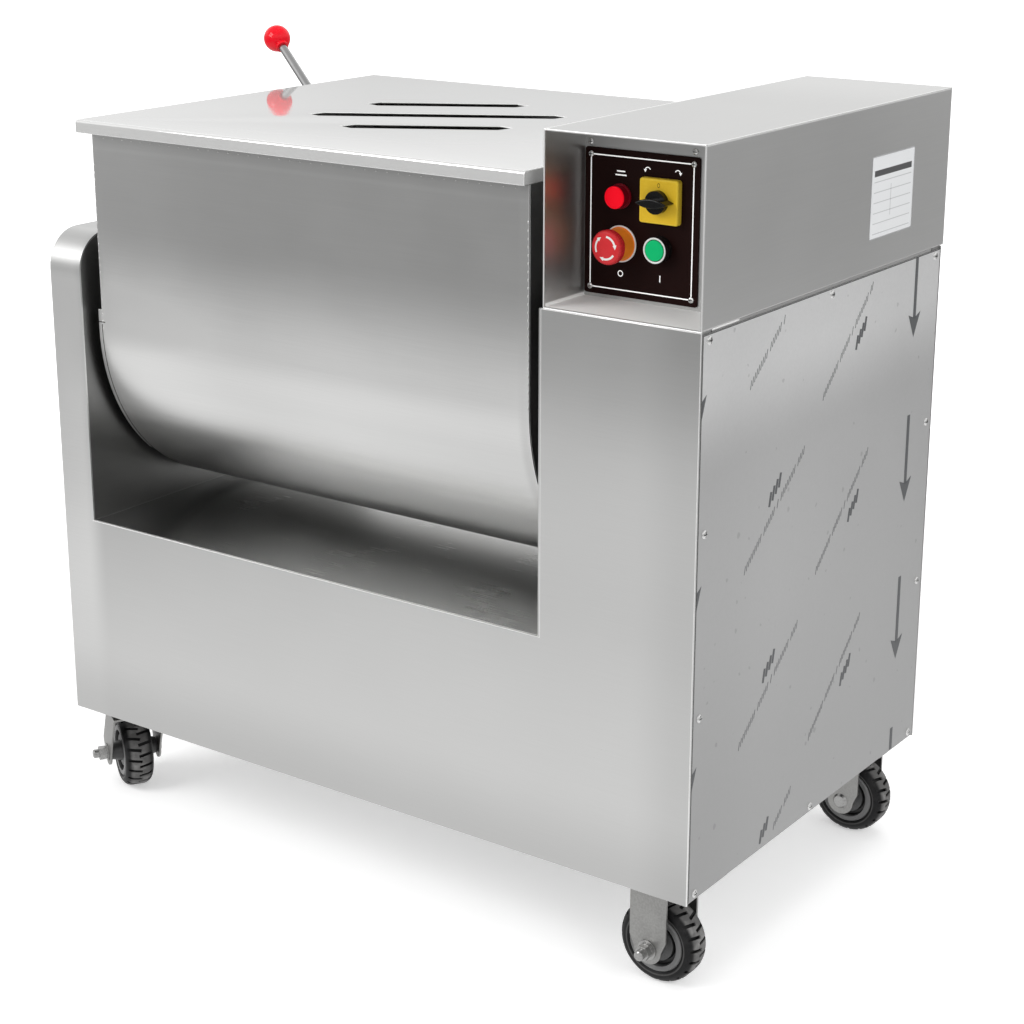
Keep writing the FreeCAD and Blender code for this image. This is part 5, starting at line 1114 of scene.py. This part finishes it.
    def film_rows(self, tree: ShapeTree) -> None:
        """Slanted rows of plain ticks, as film has them instead of words."""
        low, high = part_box("side_panel")
        origin = Vector((high.x + self.tick_lift, low.y, low.z - self.print_drop))
        fine, bold = [], []
        for start, way, mark in (((0.103, 0.154), (0.138, 0.1165), (0.155, 0.222)),
                                 ((0.272, 0.105), (0.124, 0.120), (0.350, 0.152))):
            direction = Vector((0.0, *way)).normalized()
            for step in range(-1, 3):
                shift = Vector((0.0, 0.0, step * self.print_pitch))
                place = origin + Vector((0.0, *start)) + shift
                for word in self.words:
                    for tick in range(word):
                        fine.append(place.copy())
                        place += direction * self.tick_pitch
                    place += direction * self.word_gap
                anchor = origin + Vector((0.0, *mark)) + shift
                bold += [anchor + direction * (self.bold_pitch * tick) for tick in range(4)]
        for name, points, length, width in (("film_fine_ticks", fine, 10.5 * MM, 1.1 * MM),
                                            ("film_bold_ticks", bold, 17.0 * MM, 4.5 * MM)):
            inside = [p for p in points if low.y + 0.012 < p.y < high.y - 0.012
                      and low.z + 0.014 < p.z < high.z - 0.014]
            tree.bake(name, inside, {"Tick Length": length, "Tick Width": width,
                                     "Slant": (math.radians(self.slant), 0.0, 0.0)}, "cabinet")


@dataclass
class ControlBox:
    """Box on the column, its recess, panel and controls."""

    border: float = 7.5 * MM
    line: float = 1.3 * MM
    print_lift: float = 0.08 * MM
    label_thick: float = 0.3 * MM
    label_corner: float = 2.0 * MM
    screw_radius: float = 3.5 * MM
    screw_height: float = 1.95 * MM
    sign_drop: float = 32.5 * MM
    turn_side: float = 18.5 * MM
    turn_rise: float = 30.5 * MM

    def shells(self) -> None:
        """Box, backing plate and dark plate; the box's rounded edges carry a painted highlight."""
        eased("control_box", "box_sheet", 1.2 * MM, edge="painted_highlight_edge")
        eased("backing_plate", "recess_sheet")
        eased("control_plate", "dark_panel", 0.4 * MM)

    def label(self) -> None:
        """Plain ruled label on the right face."""
        low, high = label_corners()
        size = Vector((self.label_thick, high.y - low.y, high.z - low.z))
        form = bmesh.new()
        bmesh.ops.create_cube(form, size=1.0)
        for vertex in form.verts:
            vertex.co = low + Vector(side * (place + 0.5) for side, place in zip(size, vertex.co))
        upright = [edge for edge in form.edges
                   if abs(edge.verts[0].co.x - edge.verts[1].co.x) > self.label_thick / 2]
        bmesh.ops.bevel(form, geom=upright, offset=self.label_corner, segments=4, affect="EDGES")
        mesh = bpy.data.meshes.new("box_label")
        form.to_mesh(mesh)
        form.free()
        dress(link("box_label", mesh), "label_paper", "cabinet")

    def devices(self) -> None:
        """Lamp, buttons and switch."""
        for node, finish in {
            "power_lamp": "red_lens", "estop_collar": "stop_collar", "estop_stem": "black_plastic",
            "estop_head": "red_cap", "start_bezel": "white_bezel", "start_button": "green_cap",
            "switch_plate": "yellow_plate", "switch_knob": "black_plastic",
        }.items():
            eased(node, finish, 0.4 * MM, 25.0)

    def screws(self, tree: ShapeTree) -> None:
        """Screws of the dark plate and of the backing plate."""
        low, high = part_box("control_plate")
        inset = self.border
        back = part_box("backing_plate")[0].y
        places = [Vector((x, low.y, z)) for x in (low.x + inset, high.x - inset)
                  for z in (low.z + inset, high.z - inset)]
        places += [Vector((x, back, z)) for x, z in (
            (low.x + 0.006, high.z + 0.0055), (high.x - 0.007, high.z + 0.0055),
            (high.x + 0.008, high.z - 0.006), (high.x + 0.008, low.z + 0.006))]
        tree.bake("panel_screw_heads", places, {
            "Head Radius": self.screw_radius, "Head Height": self.screw_height, "Turn": (math.pi / 2, 0.0, 0.0)},
            "cabinet", ("panel_screws",))

    def print_lines(self) -> None:
        """White border line of the dark plate, whose faint glow is painted light."""
        low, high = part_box("control_plate")
        y = low.y - self.print_lift
        left, right = low.x + self.border, high.x - self.border
        foot, top = low.z + self.border, high.z - self.border
        half = self.line / 2
        bars = [self.bar(y, x - half, x + half, foot, top) for x in (left, right)]
        bars += [self.bar(y, left, right, z - half, z + half) for z in (foot, top)]
        dress(flat_piece("panel_border", bars), "white_print", "cabinet")

    def bar(self, y: float, x0: float, x1: float, z0: float, z1: float) -> "list[Vector]":
        """Outline of an upright or level bar that faces the front."""
        return [Vector((x, y, z)) for x, z in ((x0, z0), (x1, z0), (x1, z1), (x0, z1))]

    def band(self, centre: Vector, inner: float, outer: float, start: float, end: float) -> "list[list[Vector]]":
        """Outlines of a ring or of a part of one, facing the front.

        Args:
            centre: Its centre.
            inner: Inner radius.
            outer: Outer radius.
            start: Angle at which it starts, in degrees from the right.
            end: Angle at which it ends.

        Returns:
            The outlines.
        """
        steps = max(6, int((end - start) / 12))
        angles = [math.radians(start + (end - start) * step / steps) for step in range(steps + 1)]
        near, far = ([centre + Vector((math.cos(a), 0.0, math.sin(a))) * radius for a in angles]
                     for radius in (inner, outer))
        return [[near[step], far[step], far[step + 1], near[step + 1]] for step in range(steps)]

    def symbols(self) -> None:
        """Plain white signs where controls need one: a line, a ring, two turning arrows and two bars, with a faint
        glow that is painted light.
        """
        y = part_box("control_plate")[0].y - self.print_lift
        stop, start, switch, lamp = (front_middle(node) for node in (
            "estop_collar", "start_bezel", "switch_plate", "power_lamp"))
        outlines = self.band(Vector((stop.x, y, stop.z - self.sign_drop)), 2.4 * MM, 3.5 * MM, 0.0, 360.0)
        foot = start.z - self.sign_drop
        outlines.append(self.bar(y, start.x - 0.0006, start.x + 0.0006, foot - 0.0036, foot + 0.0036))
        for side in (-1, 1):
            spot = Vector((switch.x + side * self.turn_side, y, switch.z + self.turn_rise))
            outlines += self.band(spot, 2.8 * MM, 3.8 * MM, 20.0, 160.0)
            angle = math.radians(90.0 - side * 78.0)
            tip = spot + Vector((math.cos(angle), 0.0, math.sin(angle))) * 3.3 * MM
            outlines.append([tip + Vector((x * MM, 0.0, z * MM)) for x, z in ((-2.0, 0.4), (0.0, -2.8), (2.0, 0.4))])
        for rise, half in ((26.5 * MM, 5.2 * MM), (22.5 * MM, 7.0 * MM)):
            outlines.append(self.bar(y, lamp.x - half, lamp.x + half, lamp.z + rise - 0.0007, lamp.z + rise + 0.0007))
        dress(flat_piece("panel_signs", outlines), "white_print", "cabinet")


@dataclass
class Tank:
    """Tank, handle, shaft and paddles."""

    bead_step: float = 9.0 * MM
    bead_start: float = 660.0 * MM
    bead_inset: float = 1.2 * MM
    rim_room: float = 40.0 * MM
    rim_step: float = 16.0 * MM
    rim_start: float = 20.0 * MM
    rim_drop: float = 21.0 * MM
    rim_count: int = 40
    seam_radius: float = 0.8 * MM
    notch_start: float = 1.0 * MM
    notch_end: float = 11.0 * MM
    tab_top: float = 668.0 * MM
    tab_room: float = 3.0 * MM
    tab_angle: float = 48.0
    tab_steps: int = 12

    def vessel(self) -> None:
        """Tank shell and what is welded to it, with a painted highlight on their rounded edges."""
        for node in ("tank_shell", "tank_end_walls", "hinge_brackets"):
            eased(node, "tank_steel", 0.5 * MM, edge="painted_highlight_edge")
        for node in ("tank_hubs", "tilt_handle"):
            eased(node, "machined_steel", 0.5 * MM)
        repaint("shaft_seals", "seal_rubber")

    def welds(self, tree: ShapeTree) -> None:
        """Rows of small weld beads up both end edges of the shell's front, and along the rim."""
        low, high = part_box("tank_shell")
        left, right = (corner.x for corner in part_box("tank_end_walls"))
        count = int((high.z - self.rim_room - self.bead_start) / self.bead_step)
        points = [Vector((x, low.y, self.bead_start + self.bead_step * step)) for step in range(count)
                  for x in (left + self.bead_inset, right - self.bead_inset)]
        row = [Vector((left + self.rim_start + self.rim_step * step, low.y, high.z - self.rim_drop))
               for step in range(self.rim_count)]
        for name, places, length, width in (("tank_weld_beads", points, 1.7 * MM, 0.8 * MM),
                                            ("tank_rim_beads", row, 0.7 * MM, 1.0 * MM)):
            tree.bake(name, places, {"Bead Length": length, "Bead Width": width}, "tank")

    def seams(self, tree: ShapeTree) -> None:
        """Painted shade: dark tubes in the gap between the shell and its thin left tab, and in the notch where the
        tab starts.
        """
        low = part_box("tank_shell")[0]
        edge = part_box("tank_end_walls")[0].x
        hub_low, hub_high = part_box("tank_hubs")
        middle, axis = (hub_low.y + hub_high.y) / 2, (hub_low.z + hub_high.z) / 2
        sunk = axis - low.z - self.seam_radius * 0.5
        gap = [Vector((edge, low.y + self.seam_radius * 0.5, self.tab_top - self.tab_room))]
        for step in range(self.tab_steps + 1):
            angle = math.radians(self.tab_angle * step / self.tab_steps)
            gap.append(Vector((edge, middle - sunk * math.cos(angle), axis - sunk * math.sin(angle))))
        notch = [Vector((low.x + reach, low.y, self.tab_top)) for reach in (self.notch_start, self.notch_end)]
        for name, points, share in (("tank_tab_gap_shade", gap, 1.0), ("tank_tab_notch_shade", notch, 0.8)):
            tree.bake(name, points, {"Bend Radius": self.seam_radius * share}, "tank")

    def fittings(self) -> None:
        """Ball of the tilt handle, shaft and paddles."""
        eased("ball_knob", "red_ball", 0.3 * MM, 40.0)
        eased("mixing_shaft", "machined_steel")
        eased("mixing_paddles", "tank_steel", 0.8 * MM)


@dataclass
class Lid:
    """Lid and its hinge leaves."""

    rounding: float = 1.0 * MM

    def sheet(self) -> None:
        """Lid with its rounded edges, which carry a painted highlight."""
        eased("lid", "lid_steel", self.rounding, edge="painted_highlight_edge")
        eased("lid_hinge_leaves", "lid_steel")


@dataclass
class Castors:
    """Four castors."""

    corners: tuple = ("front_left", "rear_left", "front_right", "rear_right")

    def fittings(self) -> None:
        """Plates, forks and axles."""
        for node in ("swivel_plates", "fixed_forks", "front_left_fork", "rear_left_fork"):
            eased(node, "zinc_steel", 0.6 * MM)
        for node in ("fixed_axles", "castor_bolts", "front_left_axle", "rear_left_axle"):
            eased(node, "bright_fastener", 0.4 * MM)

    def wheels(self) -> None:
        """Wheel centres and tyres."""
        for corner in self.corners:
            eased(corner + "_hub", corner + "_hub", 0.6 * MM)
            eased(corner + "_tyre", corner + "_tyre")


@dataclass
class Studio:
    """Camera, floor, backdrop and lamps."""

    place: tuple = (1.604229, -2.136874, 1.287941)
    azimuth: float = 35.617
    pitch: float = 16.819
    roll: float = -0.03
    focal: float = 2148.573
    frame_pixels: float = 1024.0
    drop: float = 51.0
    sensor: float = 36.0
    floor_reach: float = 14.0
    target: tuple = (0.0, 0.0, 0.5)

    def camera(self) -> None:
        """Camera at the photograph's viewing angle."""
        data = bpy.data.cameras.new("camera")
        data.sensor_width = self.sensor
        data.lens = self.focal / self.frame_pixels * self.sensor
        data.shift_y = -self.drop / self.frame_pixels
        data.clip_start = 0.05
        data.clip_end = 60.0
        made = link("camera", data)
        made.location = self.place
        turn = Euler((math.radians(90.0 - self.pitch), 0.0, math.radians(self.azimuth)), "XYZ").to_matrix()
        made.rotation_euler = (turn @ Matrix.Rotation(math.radians(-self.roll), 3, "Z")).to_euler()
        bpy.context.scene.camera = made

    def floor(self) -> None:
        """Pale floor that keeps the machine's shadow, and is darker far off where steel mirrors it."""
        reach = self.floor_reach
        piece = flat_piece("floor", [[Vector((x * reach, y * reach, 0.0)) for x, y in (
            (-1, -1), (1, -1), (1, 1), (-1, 1))]])
        material, graph = new_graph("pale_floor")
        x, y, _ = graph.axes()
        spread = graph.length(x, y)
        tone = graph.mix(graph.noise(30.0, 3.0), (0.88, 0.88, 0.88), (0.92, 0.92, 0.92))
        matt = graph.principled({"Roughness": 0.9, "Specular IOR Level": 0.0}, {"Base Color": tone})
        lit = graph.node("AddShader", {0: matt, 1: graph.emitter("Emission", 0.42 + spread.step(0.7, 2.5) * 0.6)})[0]
        mirrored = graph.emitter("Emission", 1.0 - spread.step(0.8, 3.2) * 0.62)
        graph.node("OutputMaterial", {"Surface": graph.by_ray(matt, lit, mirrored)})
        piece.data.materials.append(material)

    def world(self) -> None:
        """White surroundings for the camera, softer light for the rest, and a bright band for metal."""
        world = bpy.data.worlds.new("studio")
        bpy.context.scene.world = world
        world.use_nodes = True
        graph = Graph(world.node_tree)
        up = graph.node("SeparateXYZ", {0: graph.node("TexCoord")["Generated"]})["Z"]
        rise = up.step(-0.05, 0.35) - up.step(0.45, 0.90) * 0.62
        light, shown, mirrored = (graph.emitter("Background", strength) for strength in (
            0.55, 1.0, 0.38 + rise * 0.72))
        graph.node("OutputWorld", {"Surface": graph.by_ray(light, shown, mirrored)})

    def lamp(self, name: str, place: tuple, size: float, power: float, mirrored: bool = False) -> None:
        """Square soft lamp that faces the machine.

        Args:
            name: Its name.
            place: Where it stands, in metres.
            size: Length of its side.
            power: Its power in watts.
            mirrored: True where metal shows the lamp itself.
        """
        data = bpy.data.lights.new(name, "AREA")
        data.size = size
        data.energy = power
        made = link(name, data)
        made.location = place
        made.visible_glossy = mirrored
        made.rotation_euler = (Vector(self.target) - Vector(place)).to_track_quat("-Z", "Y").to_euler()

    def light(self) -> None:
        """Three soft lamps."""
        self.lamp("key", (-1.6, -2.6, 2.6), 1.8, 55.0, True)
        self.lamp("fill", (2.8, -1.0, 1.8), 1.6, 26.0)
        self.lamp("top", (0.2, 0.8, 3.2), 2.2, 34.0)


def main() -> None:
    """Build the whole scene in order."""
    studio, cabinet, box, tank, castors = Studio(), Cabinet(), ControlBox(), Tank(), Castors()
    for step in (studio.camera, studio.floor, studio.world, studio.light):
        step()
    screws = screw_tree()
    cabinet.sheets()
    # The bright bend tubes are painted highlights.
    cabinet.bends(bend_tree("bend_lines", "painted_highlight_edge"))
    cabinet.inside()
    cabinet.screws(screws)
    cabinet.film_marks()
    cabinet.film_rows(tick_tree())
    box.shells()
    box.devices()
    box.screws(screws)
    box.print_lines()
    box.symbols()
    box.label()
    tank.vessel()
    tank.welds(bead_tree())
    # The dark tubes at the tank's tab are painted shade.
    tank.seams(bend_tree("painted_shade_lines", "seal_rubber"))
    tank.fittings()
    Lid().sheet()
    castors.fittings()
    castors.wheels()
    bpy.context.scene.view_settings.view_transform = "Standard"
    log.info("boxes written")


if __name__ == "__main__":
    main()
